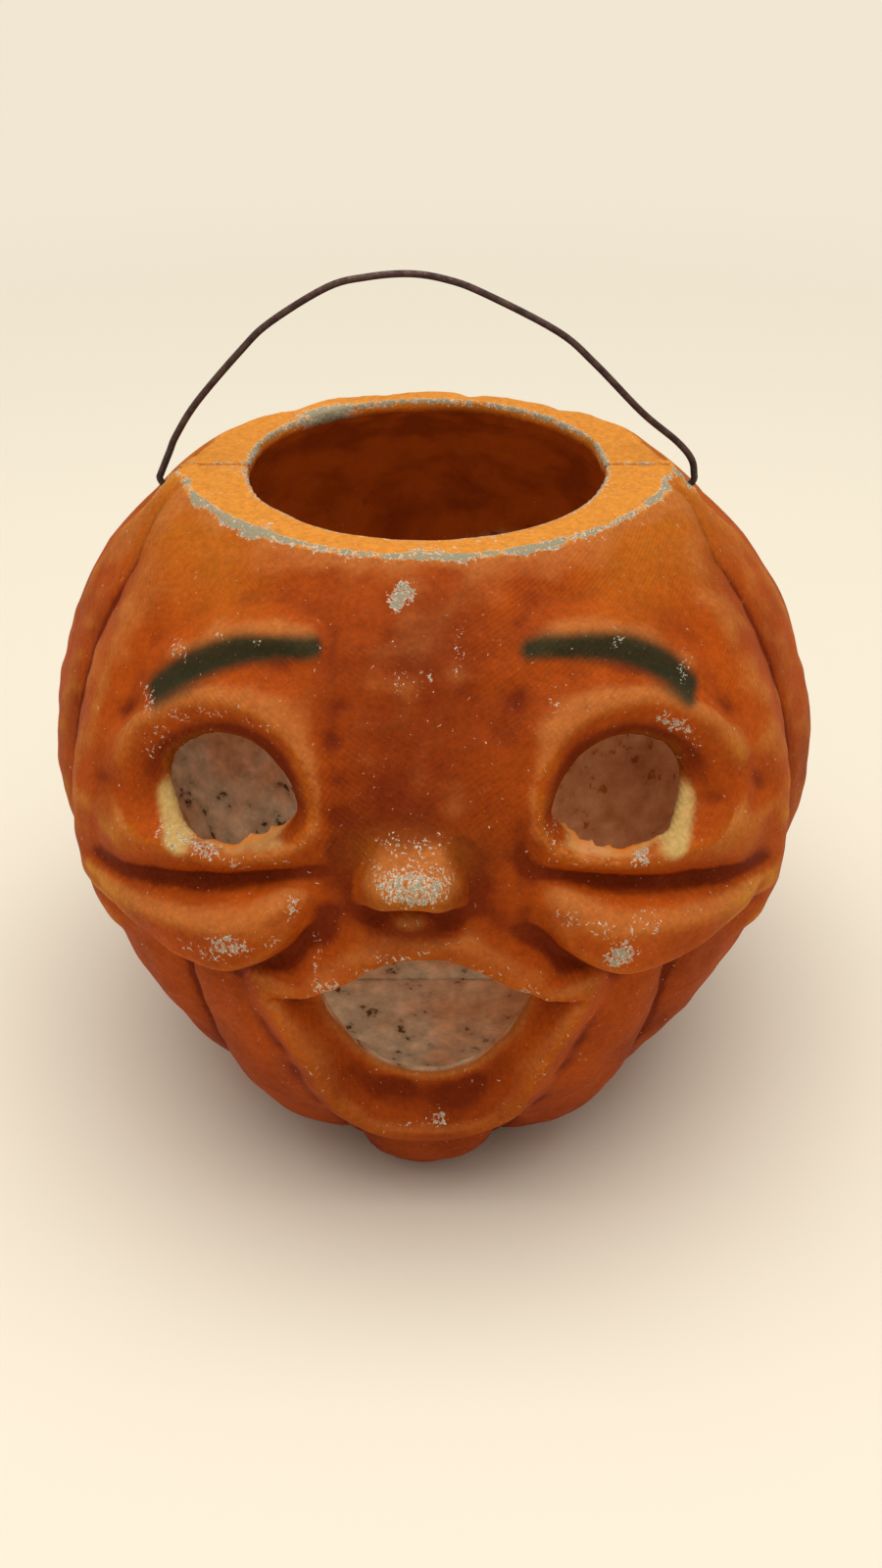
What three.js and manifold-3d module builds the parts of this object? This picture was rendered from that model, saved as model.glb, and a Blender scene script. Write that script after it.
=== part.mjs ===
// Paper mache jack-o-lantern: two moulded pulp halves glued at a side seam, and a wire bail.
// Millimetres, +Z up. The face looks along -Y, and +X is the viewer's right.
// The skin is a round body plus lobes plus a face in relief, all from the functions below.

import * as THREE from 'three';
import { mergeVertices } from 'three/addons/utils/BufferGeometryUtils.js';
import Module from 'manifold-3d';

const wasm = await Module();
wasm.setup();

// Body
const BODY_WIDTH = 180;
const BODY_HEIGHT = 150;
const WAIST_HEIGHT = 78;
const FOOT_FRONT_RADIUS = 54;
const FOOT_SIDE_RADIUS = 44;
const UPPER_FULLNESS = 2; // exponent of a profile: 2 is a ball, more is squarer, less is a cone
const LOWER_FRONT_FULLNESS = 2.4;
const LOWER_SIDE_FULLNESS = 1.65;
const FRONT_TO_SIDE = { from: 22, to: 60 }; // azimuths over which the lower profile changes
const LEAN = 1.2; // the moulding bulges this much more on the right than on the left
const LEAN_FADE = { from: 15, to: 45 }; // elevations
const PULP_THICKNESS = 3.5;
const FLOOR_THICKNESS = 4;

// Rim: a flat ring, pointed at the two seam corners
const RIM_SIDE_RADIUS = 55.5;
const RIM_FRONT_RADIUS = 48;
const RIM_BACK_RADIUS = 45.5;
const RIM_THICKNESS = 3.5;
const TOP_HOLE_DIAMETER = 79.5;

// Lobes, given by the azimuths of the valleys between them on either side
const VALLEYS = [13, 37, 71, 105, 137, 167];
const LOBE_DEPTH = 5.5;
const LOBE_ROUNDNESS = 2.4;
const VALLEY_SHARPNESS = 0.985;
const RIM_FADE = { from: 12, to: 48, share: 0.72 }; // the lobes fade over these elevations
const FOOT_FADE = { from: 35, to: 60, share: 0.3 }; // and, counted downwards, over these
const RIDGE_TURN = { from: 40, to: 58, share: 24 }; // the side ridges turn back to the seam
const PANEL_START = { from: -9, to: -3 }; // no valley crosses the face above these elevations
const MOUTH_START = { from: -38, to: -30 };
const CHIN_REACH = 5.5;
const CHIN_HALF_ANGLE = 15;
const CHIN_START = { from: 30, to: 44 }; // elevations counted downwards

// Seam between the halves, with a gummed paper strip over it on the inside of each side
const SEAM_GAP = 0.3;
const STRIP_WIDTH = 18;
const STRIP_THICKNESS = 0.8;
const STRIP_LOW = 22;
const STRIP_HIGH = 132;
const GLUE_GAP = 0.3;

// Wire bail
const WIRE_DIAMETER = 1.6;
const WIRE_HOLE_DIAMETER = 3;
const BAIL_RISE = 48.5; // from the hinge line to the top of the wire's centre line
const BAIL_BELOW_RIM = 7.5; // hinge line below the rim
const BAIL_BEHIND_SEAM = 5;
const BAIL_LEG_CLEARANCE = 1.2; // between the wire and the skin beside the hole
const BAIL_HOOK_CLEARANCE = 2.2; // between the hook and the wall inside
const BAIL_HOOK_LENGTH = 7;
const BAIL_BEND_RADIUS = 2.2;
const NOTCH_DEPTH = 3; // torn pulp round each wire hole
const NOTCH_RADIUS = 9;

// Face, seen from the front on the viewer's right: [x from the middle, z from the waist]
const EYE_OUTLINE = [
  [25, 30], [26.3, 33], [29.5, 36.5], [33, 39.2], [37, 40.2], [41.5, 39.8], [45.8, 38], [49.7, 35],
  [52.2, 31.5], [52.3, 27], [51, 23.4], [48.4, 21.6], [43.5, 21.4], [38, 22.5], [32, 24.3], [27, 26.4],
];
const SOCKET_OUTLINE = [
  [21.5, 33], [22.3, 38], [25, 42.3], [30, 45.6], [35, 46.6], [41.7, 46.2], [48.7, 43.5], [54.6, 39.6],
  [59.2, 35.1], [63, 29.8], [65, 23.5], [61, 18.8], [52, 19], [44, 19.8], [36, 22.4], [28, 25.5], [23.5, 28.5],
];
const SOCKET_FLOOR = -3.5;
const LEDGE_RISE = 5.5; // the socket is shallower along the lower lid and at the inner corner
const LOWER_LEDGE = { from: 23, to: 29 };
const OUTER_LEDGE = { from: 49, to: 56 };
const INNER_LEDGE = { from: 24, to: 29, share: 0.6 };
const UPPER_LIP_EDGE = [[0, 3.3], [6, 2.4], [11, -0.3], [16.5, -4.6], [22.8, -8.8], [28.5, -9.8]];
const MOUTH_LOWER_EDGE = [
  [22.6, -14.5], [19.5, -21.5], [15, -29], [11, -34], [5, -37.6], [0, -38.4],
];
const MOUTH_CORNER = 4; // index in UPPER_LIP_EDGE where the opening ends
const UPPER_LIP_HEIGHT = 3.4;
const UPPER_LIP_SIDE = { from: 22, to: 31 };
const UPPER_LIP_TOP = { from: 2, to: 15 }; // above its edge
const UPPER_LIP_EDGE_DROP = 2;
const LIP_RIDGE = [
  [33.5, -4.5], [30, -13], [26, -21.5], [22.3, -30], [19.5, -38.5], [14, -46], [7, -49], [0, -49.6],
];
const LIP_RIDGE_HEIGHT = 4.5;
const LIP_RIDGE_REACH = 8.5;
const LIP_RIDGE_TOP = { from: -7, to: 0 };
const MOUTH_RECESS = -5.5;
const MOUTH_RECESS_WALL = { from: 0.4, to: 1 }; // shares of the way from the opening to the ridge
const SIDE_RIDGE = [
  [57, 70], [56, 64], [59.5, 56], [64.5, 46.5], [69, 37.5], [72.4, 28.7], [74.5, 20], [76, 8], [75, -4],
  [72, -14],
];
const SIDE_RIDGE_HEIGHT = 2;
const SIDE_RIDGE_REACH = 7;
const SIDE_RIDGE_FADE = { from: 50, to: 68, share: 0.7 };
const NOSE = { x: -2.6, z: 19.8, halfWidth: 10.5, above: 10.5, below: 7, height: 10, taper: 3 };
const NOSE_ROUNDNESS = 2.4;
const NOSE_BRIDGE_HEIGHT = 1.8;
const NOSE_BRIDGE_SIDE = { from: 2, to: 15 };
const NOSE_BRIDGE_LOW = { from: 12, to: 20 };
const NOSE_BRIDGE_HIGH = { from: 26, to: 42 };

// Lines over the eye and cheek from the forehead down: [x, z from the waist, height off the plain
// skin]. The skin runs from each line to the next and turns sharply at a crease.
const FOREHEAD = [[16, 74, 0], [45, 74, 0], [60, 62, 0], [75, 48, 0]];
const BROW_TOP = [
  [16, 65, 0], [24, 65.5, -0.3], [32, 65, -0.6], [42, 62, -0.6], [52, 56, -0.3], [62, 48.5, 0], [75, 38, 0],
];
const BROW_RIDGE = [
  [16, 58, 0], [19, 58, 0.3], [23, 58.4, 2.2], [29, 58.6, 3.4], [38, 57, 3.2], [46, 54, 2.2], [55, 49, 1.2],
  [62, 43.8, 0.4], [75, 34, 0],
];
const BROW_GROOVE = [
  [16, 54, 0], [19, 54, 0.2], [23, 54.8, 1], [29, 55, 1.3], [36, 53.8, 1.4], [43, 51.4, 1.4], [50, 47.6, 1.4],
  [56, 43.2, 1.1], [62, 39, 0.6], [75, 30, 0],
];
const UPPER_LID = [
  [16, 43, 0], [19, 43, 0.5], [22, 43.5, 2.2], [27, 46.4, 3.6], [34, 47.8, 4.1], [43, 46.8, 4.1], [52, 42.4, 4],
  [58, 37.6, 3.7], [63, 32, 2.8], [75, 24, 0],
];
const EYE_MIDDLE = [
  [16, 36, 0], [19, 36, 0.5], [22.5, 35, 2.6], [30, 34, 3.8], [40, 34, 4.2], [52, 32, 4], [60, 28, 3.4],
  [67, 24, 1.5], [75, 20, 0],
];
const LOWER_LID = [
  [16, 31, 0], [19, 31, 0.3], [22, 29.5, 2.5], [26, 26.2, 4.2], [34, 22.6, 5], [46, 19.3, 5.2], [57, 17, 5],
  [67, 15.6, 3.4], [78, 13.5, 0],
];
const LID_GROOVE = [
  [16, 20, 0], [20, 20.5, -0.6], [24, 19.8, -1], [31, 17.6, -1.2], [39, 14.9, -1], [46, 12.6, -0.8],
  [54, 9.8, -0.4], [60, 7.6, 0], [68, 4.6, 0.6], [78, 1, 0],
];
const CHEEK = [
  [16, 14, 0], [21, 14, 0.4], [25, 13.5, 3.6], [28, 12, 6.6], [32, 9.6, 8.6], [40, 7, 9.4], [48, 5.2, 9.2],
  [57, 3.4, 7.6], [66, 1.6, 4.4], [77, -1, 0],
];
const CHEEK_UNDERSIDE = [
  [16, 12, 0], [21, 11.5, 0], [24.5, 10, 3], [27, 7, 5.8], [32, 2.4, 8], [39, -0.6, 8.8], [48, -1.2, 8.4],
  [57, -1, 6.6], [66, -1.6, 3.6], [77, -4, 0],
];
const UNDER_CHEEK = [
  [16, 8, 0], [20, 8, -0.8], [24, 6, -1.4], [27, 2.5, -1.6], [32, -2, -1.6], [39, -5, -1.6], [48, -5.6, -1.4],
  [57, -5.2, -1.2], [66, -5.6, -0.8], [77, -8, 0],
];
const BELOW_CHEEK = [[16, -6, 0], [26, -9, 0], [40, -16, 0], [57, -15, 0], [77, -16, 0]];
const FACE_LINES = [
  { points: FOREHEAD },
  { points: BROW_TOP },
  { points: BROW_RIDGE },
  { points: BROW_GROOVE },
  { points: UPPER_LID },
  { points: EYE_MIDDLE },
  { points: LOWER_LID },
  { points: LID_GROOVE, crease: true },
  { points: CHEEK },
  { points: CHEEK_UNDERSIDE },
  { points: UNDER_CHEEK, crease: true },
  { points: BELOW_CHEEK },
];
const LEAST_LINE_GAP = 0.3;
const CURVE_STEPS = 6; // points between two given ones
const RELIEF_SOFTNESS = 1.8;

// Grid steps in degrees: fine on the face, coarse elsewhere
const FACE_STEP = 1.7;
const PLAIN_STEP = 5;
const CAVITY_STEP = 6;
const CAVITY_MARGIN = 3.5;
const CUT_AWAY_STEP = 30; // on the half of a ball that is cut off
const FACE_HALF_ANGLE = 52;
const ROUND_HOLE_SIDES = 48;
const FACE_LOWEST = -38;
const FACE_HIGHEST = 48;

const radians = THREE.MathUtils.degToRad;
const degrees = THREE.MathUtils.radToDeg;
const smoothstep = THREE.MathUtils.smoothstep;
const lerp = THREE.MathUtils.lerp;
const rising = (value, range) => (range.share ?? 1) * smoothstep(value, range.from, range.to);
const falling = (value, range) => 1 - rising(value, range);

// Body profile and lobes. Azimuth is 0 at the front and 90 at +X; elevation is 0 at the waist.

function rimRadius(azimuth) {
  const fromSeam = Math.abs(90 - Math.abs(azimuth)) / 90;
  const middle = Math.abs(azimuth) < 90 ? RIM_FRONT_RADIUS : RIM_BACK_RADIUS;
  return middle + (RIM_SIDE_RADIUS - middle) * (1 - fromSeam) ** 2;
}

function plainRadius(azimuth, elevation) {
  const halfWidth = BODY_WIDTH / 2;
  const across = Math.cos(radians(elevation));
  const up = Math.sin(radians(elevation));
  const atSide = rising(Math.abs(azimuth), FRONT_TO_SIDE);
  const lowerFullness = lerp(LOWER_FRONT_FULLNESS, LOWER_SIDE_FULLNESS, atSide);
  const power = up < 0 ? lowerFullness : UPPER_FULLNESS;
  const footRadius = lerp(FOOT_FRONT_RADIUS, FOOT_SIDE_RADIUS, atSide);
  const endRadius = up < 0 ? footRadius : rimRadius(azimuth);
  const endDistance = up < 0 ? WAIST_HEIGHT : BODY_HEIGHT - WAIST_HEIGHT;
  const poleDistance = endDistance / (1 - (endRadius / halfWidth) ** power) ** (1 / power);
  return (
    (across / halfWidth) ** power + (Math.abs(up) / poleDistance) ** power
  ) ** (-1 / power);
}

// Towards the rim the front side ridges bend back to the seam corners.
function lobeAzimuth(azimuth, elevation) {
  const turn = Math.abs(azimuth);
  const ridge = VALLEYS[2];
  const share = turn < ridge ? smoothstep(turn, 0, ridge) : 1 - smoothstep(turn, ridge, 90);
  return turn - rising(elevation, RIDGE_TURN) * share;
}

// A lobe is a rounded bulge between two valleys.
function lobeHollow(azimuth, elevation) {
  const turn = lobeAzimuth(azimuth, elevation);
  const edges = [-VALLEYS[0], ...VALLEYS, 360 - VALLEYS.at(-1)];
  const next = edges.findIndex((edge) => edge > turn);
  const halfLobe = (edges[next] - edges[next - 1]) / 2;
  const fromCrest = Math.abs(turn - edges[next] + halfLobe) / halfLobe;
  const hollow = 1 - Math.sqrt(1 - VALLEY_SHARPNESS * fromCrest ** LOBE_ROUNDNESS);
  const fade = falling(elevation, RIM_FADE) * falling(-elevation, FOOT_FADE);
  const panelEdge = (VALLEYS[1] + VALLEYS[2]) / 2;
  const mouthEdge = (VALLEYS[0] + VALLEYS[1]) / 2;
  const onPanel = turn < panelEdge ? rising(elevation, PANEL_START) : 0;
  const onMouth = turn < mouthEdge ? rising(elevation, MOUTH_START) : 0;
  return LOBE_DEPTH * hollow * fade * (1 - Math.max(onPanel, onMouth));
}

// The front lobe stands forward under the mouth as a chin.
function chin(azimuth, elevation) {
  const fromMiddle = Math.min(1, Math.abs(azimuth) / CHIN_HALF_ANGLE);
  return CHIN_REACH * Math.sqrt(1 - fromMiddle ** LOBE_ROUNDNESS) * rising(-elevation, CHIN_START);
}

// Face relief, in millimetres outwards at a point seen from the front

function curved(points, closed = false) {
  const corners = points.map(([x, z, height = 0]) => new THREE.Vector3(x, z, height));
  const curve = new THREE.CatmullRomCurve3(corners, closed, 'catmullrom');
  return curve.getPoints((closed ? points.length : points.length - 1) * CURVE_STEPS);
}

const mirrored = (points) => points.map(([x, z]) => [-x, z]).reverse();

// A line given on one side, from its outer end over the middle to the other outer end
function acrossBothSides(halfLine) {
  const outwards = halfLine[0][0] === 0 ? halfLine : [...halfLine].reverse();
  return [...mirrored(outwards), ...outwards.slice(1)];
}

const mouthOutline = [
  ...UPPER_LIP_EDGE.slice(0, MOUTH_CORNER + 1), ...MOUTH_LOWER_EDGE,
  ...mirrored([...UPPER_LIP_EDGE.slice(1, MOUTH_CORNER + 1), ...MOUTH_LOWER_EDGE.slice(0, -1)]),
];
const eyeCurve = curved(EYE_OUTLINE, true);
const socketCurve = curved(SOCKET_OUTLINE, true);
const mouthCurve = curved(mouthOutline, true);
const upperLipCurve = curved(acrossBothSides(UPPER_LIP_EDGE));
const lipRidgeCurve = curved(acrossBothSides(LIP_RIDGE));
const lowerMouthCurve = [...lipRidgeCurve, ...[...upperLipCurve].reverse()];
const sideRidgeCurve = curved(SIDE_RIDGE);
const faceLines = FACE_LINES.map((line) => ({ crease: line.crease, curve: curved(line.points) }));

function distanceTo(curve, x, z) {
  let least = Infinity;
  for (let i = 0; i < curve.length - 1; i += 1) {
    const acrossStep = curve[i + 1].x - curve[i].x;
    const upStep = curve[i + 1].y - curve[i].y;
    const along = (x - curve[i].x) * acrossStep + (z - curve[i].y) * upStep;
    const share = THREE.MathUtils.clamp(along / (acrossStep ** 2 + upStep ** 2 || 1), 0, 1);
    const away = Math.hypot(x - curve[i].x - share * acrossStep, z - curve[i].y - share * upStep);
    least = Math.min(least, away);
  }
  return least;
}

function isInside(curve, x, z) {
  let inside = false;
  curve.forEach((start, i) => {
    const end = curve[(i + 1) % curve.length];
    const crosses = start.y > z !== end.y > z;
    if (crosses && x < start.x + ((end.x - start.x) * (z - start.y)) / (end.y - start.y)) {
      inside = !inside;
    }
  });
  return inside;
}

// Height and depth of a line where it passes x
function lineAt(curve, x) {
  const next = curve.findIndex((point, i) => i > 0 && point.x >= x);
  const end = next < 0 ? curve.length - 1 : next;
  const start = curve[end - 1];
  const share = THREE.MathUtils.clamp((x - start.x) / (curve[end].x - start.x), 0, 1);
  return new THREE.Vector3().lerpVectors(start, curve[end], share);
}

function easing(share, fromCrease, toCrease) {
  if (fromCrease) return Math.sin((Math.PI / 2) * share);
  if (toCrease) return 1 - Math.cos((Math.PI / 2) * share);
  return smoothstep(share, 0, 1);
}

function eyeAndCheek(x, z) {
  const inner = FOREHEAD[0][0];
  const outer = BELOW_CHEEK.at(-1)[0];
  if (x <= inner || x >= outer) return 0;
  const passed = faceLines.map((line) => ({ crease: line.crease, at: lineAt(line.curve, x) }));
  const next = passed.findIndex((line) => line.at.y < z);
  if (next < 1) return 0;
  const [above, below] = [passed[next - 1], passed[next]];
  const share = (above.at.y - z) / Math.max(above.at.y - below.at.y, LEAST_LINE_GAP);
  const eased = easing(Math.min(1, share), above.crease, below.crease);
  return lerp(above.at.z, below.at.z, eased);
}

// Round the eye the skin is sunk; the lower lid and the inner corner keep a shallow ledge.
function withSocket(x, z, height) {
  if (!isInside(socketCurve, x, z)) return height;
  const lowerLid = falling(z, LOWER_LEDGE) * falling(x, OUTER_LEDGE);
  const innerCorner = INNER_LEDGE.share - rising(x, INNER_LEDGE);
  const floor = SOCKET_FLOOR + LEDGE_RISE * Math.max(lowerLid, innerCorner);
  const fromEye = isInside(eyeCurve, x, z) ? 0 : distanceTo(eyeCurve, x, z);
  const share = fromEye / (fromEye + distanceTo(socketCurve, x, z) || 1);
  return lerp(floor, height, share);
}

function nose(x, z) {
  const up = THREE.MathUtils.clamp((z - NOSE.z) / NOSE.above, 0, 1);
  const down = THREE.MathUtils.clamp((NOSE.z - z) / NOSE.below, 0, 1);
  const across = Math.min(1, Math.abs(x - NOSE.x) / (NOSE.halfWidth - NOSE.taper * up));
  const fromTip = Math.min(1, Math.hypot(across, down));
  const button = Math.sqrt(1 - fromTip ** NOSE_ROUNDNESS) * (1 - smoothstep(up, 0, 1));
  const bridgeLength = rising(z, NOSE_BRIDGE_LOW) * falling(z, NOSE_BRIDGE_HIGH);
  const bridge = bridgeLength * falling(Math.abs(x), NOSE_BRIDGE_SIDE);
  return NOSE.height * button + NOSE_BRIDGE_HEIGHT * bridge;
}

// The upper lip stands proud; below it the mouth is sunk inside the ridge of the lower lip.
function mouthRelief(x, z) {
  const aboveEdge = z - lineAt(upperLipCurve, x).y;
  const lip = UPPER_LIP_HEIGHT * falling(Math.abs(x), UPPER_LIP_SIDE);
  const ridgeDistance = distanceTo(lipRidgeCurve, x, z);
  if (aboveEdge < 0 && isInside(lowerMouthCurve, x, z)) {
    const fromMouth = isInside(mouthCurve, x, z) ? 0 : distanceTo(mouthCurve, x, z);
    const share = fromMouth / (fromMouth + ridgeDistance || 1);
    const recess = lerp(MOUTH_RECESS, LIP_RIDGE_HEIGHT, rising(share, MOUTH_RECESS_WALL));
    return lerp(lip, recess, Math.min(1, -aboveEdge / UPPER_LIP_EDGE_DROP));
  }
  const ridge = LIP_RIDGE_HEIGHT * (1 - smoothstep(ridgeDistance, 0, LIP_RIDGE_REACH));
  const upperLip = aboveEdge > 0 ? lip * falling(aboveEdge, UPPER_LIP_TOP) : 0;
  return upperLip + ridge * falling(z, LIP_RIDGE_TOP);
}

function sideRidge(x, z) {
  const near = 1 - smoothstep(distanceTo(sideRidgeCurve, x, z), 0, SIDE_RIDGE_REACH);
  return SIDE_RIDGE_HEIGHT * near * falling(z, SIDE_RIDGE_FADE);
}

function sharpRelief(x, z) {
  const side = Math.abs(x);
  const eyeSide = withSocket(side, z, eyeAndCheek(side, z));
  return eyeSide + sideRidge(side, z) + nose(x, z) + mouthRelief(x, z);
}

// Averaged over about one step of the grid, so that no ridge or crease falls between its points
function faceRelief(x, z) {
  const offsets = [-RELIEF_SOFTNESS, 0, RELIEF_SOFTNESS];
  const heights = offsets.flatMap((across) => offsets.map((up) => sharpRelief(x + across, z + up)));
  return heights.reduce((sum, height) => sum + height, 0) / heights.length;
}

// Bail hinge line
const hingeHeight = BODY_HEIGHT - BAIL_BELOW_RIM;

function notch(x, y, z) {
  const away = Math.hypot(y - BAIL_BEHIND_SEAM, z - hingeHeight) / NOTCH_RADIUS;
  return NOTCH_DEPTH * Math.max(0, 1 - away ** 2) ** 1.5;
}

function skinPoint(azimuth, elevation) {
  const direction = new THREE.Vector3(
    Math.cos(radians(elevation)) * Math.sin(radians(azimuth)),
    -Math.cos(radians(elevation)) * Math.cos(radians(azimuth)),
    Math.sin(radians(elevation)),
  );
  const plain = plainRadius(azimuth, elevation);
  const spot = direction.clone().multiplyScalar(plain);
  const relief = Math.abs(azimuth) < 90 ? faceRelief(spot.x, spot.z) : 0;
  const lean = LEAN * Math.sin(radians(azimuth)) * falling(elevation, LEAN_FADE);
  const raised = relief + lean + chin(azimuth, elevation) - lobeHollow(azimuth, elevation);
  const torn = notch(spot.x, spot.y, spot.z + WAIST_HEIGHT);
  direction.multiplyScalar(plain + raised - torn);
  return direction.add(new THREE.Vector3(0, 0, WAIST_HEIGHT));
}

// The cavity keeps the wall's thickness under the lowest skin close by.
function cavityPoint(azimuth, elevation, inset) {
  const centre = new THREE.Vector3(0, 0, WAIST_HEIGHT);
  let least = Infinity;
  for (const turn of [-CAVITY_MARGIN, 0, CAVITY_MARGIN]) {
    for (const tilt of [-CAVITY_MARGIN, 0, CAVITY_MARGIN]) {
      const skin = skinPoint(azimuth + turn, THREE.MathUtils.clamp(elevation + tilt, -90, 90));
      least = Math.min(least, skin.distanceTo(centre));
    }
  }
  const skin = skinPoint(azimuth, elevation);
  const direction = skin.sub(centre).normalize();
  return direction.multiplyScalar(least - PULP_THICKNESS - inset).add(centre);
}

// Closed solids

function steps(from, to, step) {
  const count = Math.max(1, Math.round((to - from) / step));
  return Array.from({ length: count }, (_, i) => from + ((to - from) * i) / count);
}

// Azimuths and elevations of the face half, the plain back half and the cavity
const faceAzimuths = [
  ...steps(-180, -90, CUT_AWAY_STEP),
  ...steps(-90, -FACE_HALF_ANGLE, PLAIN_STEP),
  ...steps(-FACE_HALF_ANGLE, FACE_HALF_ANGLE, FACE_STEP),
  ...steps(FACE_HALF_ANGLE, 90, PLAIN_STEP),
  ...steps(90, 180, CUT_AWAY_STEP),
];
const faceElevations = [
  ...steps(-90, FACE_LOWEST, PLAIN_STEP),
  ...steps(FACE_LOWEST, FACE_HIGHEST, FACE_STEP),
  ...steps(FACE_HIGHEST, 90, PLAIN_STEP),
].slice(1);
const backAzimuths = [
  ...steps(-180, -90, PLAIN_STEP),
  ...steps(-90, 90, CUT_AWAY_STEP),
  ...steps(90, 180, PLAIN_STEP),
];
const plainElevations = steps(-90, 90, PLAIN_STEP).slice(1);
const cavityAzimuths = steps(-180, 180, CAVITY_STEP);
const cavityElevations = steps(-90, 90, CAVITY_STEP).slice(1);

function toManifold(geometry) {
  const bare = geometry.clone();
  bare.deleteAttribute('normal');
  bare.deleteAttribute('uv');
  const merged = mergeVertices(bare, 1e-4);
  return new wasm.Manifold(new wasm.Mesh({
    numProp: 3,
    vertProperties: new Float32Array(merged.attributes.position.array),
    triVerts: new Uint32Array(merged.index.array),
  }));
}

// A ball-like solid: rings of points round the upright axis, with a pole at each end
function globe(azimuths, elevations, pointAt) {
  const rings = elevations.map((elevation) => azimuths.map((azimuth) => pointAt(azimuth, elevation)));
  const points = rings.flat();
  const positions = points.flatMap((point) => point.toArray());
  positions.push(...pointAt(0, -90).toArray(), ...pointAt(0, 90).toArray());
  const count = azimuths.length;
  const southPole = rings.length * count;
  const northPole = southPole + 1;
  const triangles = [];
  for (let i = 0; i < count; i += 1) {
    const next = (i + 1) % count;
    for (let ring = 0; ring < rings.length - 1; ring += 1) {
      const [a, b] = [ring * count + i, ring * count + next];
      const [c, d] = [b + count, a + count];
      const shorter = points[a].distanceTo(points[c]) <= points[b].distanceTo(points[d]);
      triangles.push(...(shorter ? [a, b, c, a, c, d] : [a, b, d, b, c, d]));
    }
    const top = (rings.length - 1) * count;
    triangles.push(southPole, next, i, top + i, top + next, northPole);
  }
  const geometry = new THREE.BufferGeometry();
  geometry.setAttribute('position', new THREE.Float32BufferAttribute(positions, 3));
  geometry.setIndex(triangles);
  return toManifold(geometry);
}

function block(low, high) {
  const size = new THREE.Vector3().subVectors(high, low);
  const middle = new THREE.Vector3().addVectors(low, high).multiplyScalar(0.5);
  const geometry = new THREE.BoxGeometry(size.x, size.y, size.z);
  return toManifold(geometry.translate(middle.x, middle.y, middle.z));
}

const FAR = BODY_WIDTH; // further than any point of the body

function slab(low, high) {
  return block(new THREE.Vector3(-FAR, -FAR, low), new THREE.Vector3(FAR, FAR, high));
}

function cavity(inset) {
  const hollow = globe(cavityAzimuths, cavityElevations, (a, e) => cavityPoint(a, e, inset));
  return hollow.intersect(slab(FLOOR_THICKNESS, BODY_HEIGHT - RIM_THICKNESS));
}

function topHole() {
  const radius = TOP_HOLE_DIAMETER / 2;
  const geometry = new THREE.CylinderGeometry(radius, radius, 4 * RIM_THICKNESS, ROUND_HOLE_SIDES);
  return toManifold(geometry.rotateX(Math.PI / 2).translate(0, 0, BODY_HEIGHT));
}

// A punched opening runs straight back through the face.
function punch(curve) {
  const points = curve.slice(0, -1).map((point) => new THREE.Vector2(point.x, point.y + WAIST_HEIGHT));
  const geometry = new THREE.ExtrudeGeometry(new THREE.Shape(points), { depth: FAR, bevelEnabled: false });
  return toManifold(geometry.rotateX(Math.PI / 2));
}

function wireHoles() {
  const radius = WIRE_HOLE_DIAMETER / 2;
  const geometry = new THREE.CylinderGeometry(radius, radius, 2 * FAR, 16);
  return toManifold(geometry.rotateZ(Math.PI / 2).translate(0, BAIL_BEHIND_SEAM, hingeHeight));
}

const hollow = cavity(0);

function shell(azimuths, elevations) {
  return globe(azimuths, elevations, (a, e) => skinPoint(a, e))
    .intersect(slab(0, BODY_HEIGHT))
    .subtract(hollow)
    .subtract(topHole());
}

function frontHalf() {
  const seam = new THREE.Vector3(FAR, -SEAM_GAP / 2, FAR);
  return shell(faceAzimuths, faceElevations)
    .intersect(block(new THREE.Vector3(-FAR, -FAR, -FAR), seam))
    .subtract(punch(eyeCurve))
    .subtract(punch(curved(mirrored(EYE_OUTLINE), true)))
    .subtract(punch(mouthCurve));
}

function backHalf() {
  const seam = new THREE.Vector3(-FAR, SEAM_GAP / 2, -FAR);
  return shell(backAzimuths, plainElevations)
    .intersect(block(seam, new THREE.Vector3(FAR, FAR, FAR)))
    .subtract(wireHoles());
}

// The strip lies on the cavity's wall over the seam, on the side given as -1 or 1.
function seamStrip(side) {
  const near = new THREE.Vector3(0, -STRIP_WIDTH / 2, STRIP_LOW);
  const far = new THREE.Vector3(side * FAR, STRIP_WIDTH / 2, STRIP_HIGH);
  const box = new THREE.Box3().setFromPoints([near, far]);
  return cavity(GLUE_GAP)
    .intersect(block(box.min, box.max))
    .subtract(cavity(GLUE_GAP + STRIP_THICKNESS));
}

// Bail: one bent wire, its two ends turned in through the holes and hooked down inside

// How far out a surface lies at a given depth and height, found by walking to the surface
function halfWidthAt(pointAt, y, z) {
  const centre = new THREE.Vector3(0, 0, WAIST_HEIGHT);
  let x = RIM_SIDE_RADIUS;
  for (let i = 0; i < 20; i += 1) {
    const azimuth = degrees(Math.atan2(x, -y));
    const elevation = degrees(Math.atan2(z - WAIST_HEIGHT, Math.hypot(x, y)));
    const reach = pointAt(azimuth, elevation).distanceTo(centre);
    x = Math.sqrt(reach ** 2 - y ** 2 - (z - WAIST_HEIGHT) ** 2);
  }
  return x;
}

// Arch of the wire from the left leg to the right one: [share of the leg's x, share of the rise]
const ARCH = [
  [-0.955, 0.17], [-0.925, 0.25], [-0.84, 0.41], [-0.67, 0.65], [-0.56, 0.78], [-0.35, 0.94], [-0.21, 0.985],
  [-0.06, 1], [0.07, 0.975], [0.2, 0.915], [0.47, 0.74], [0.61, 0.59], [0.79, 0.36], [0.925, 0.22], [0.985, 0.13],
];
const BEND_STEPS = 5;
const ARCH_STEPS = 44;
const WIRE_SIDES = 8;

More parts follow.
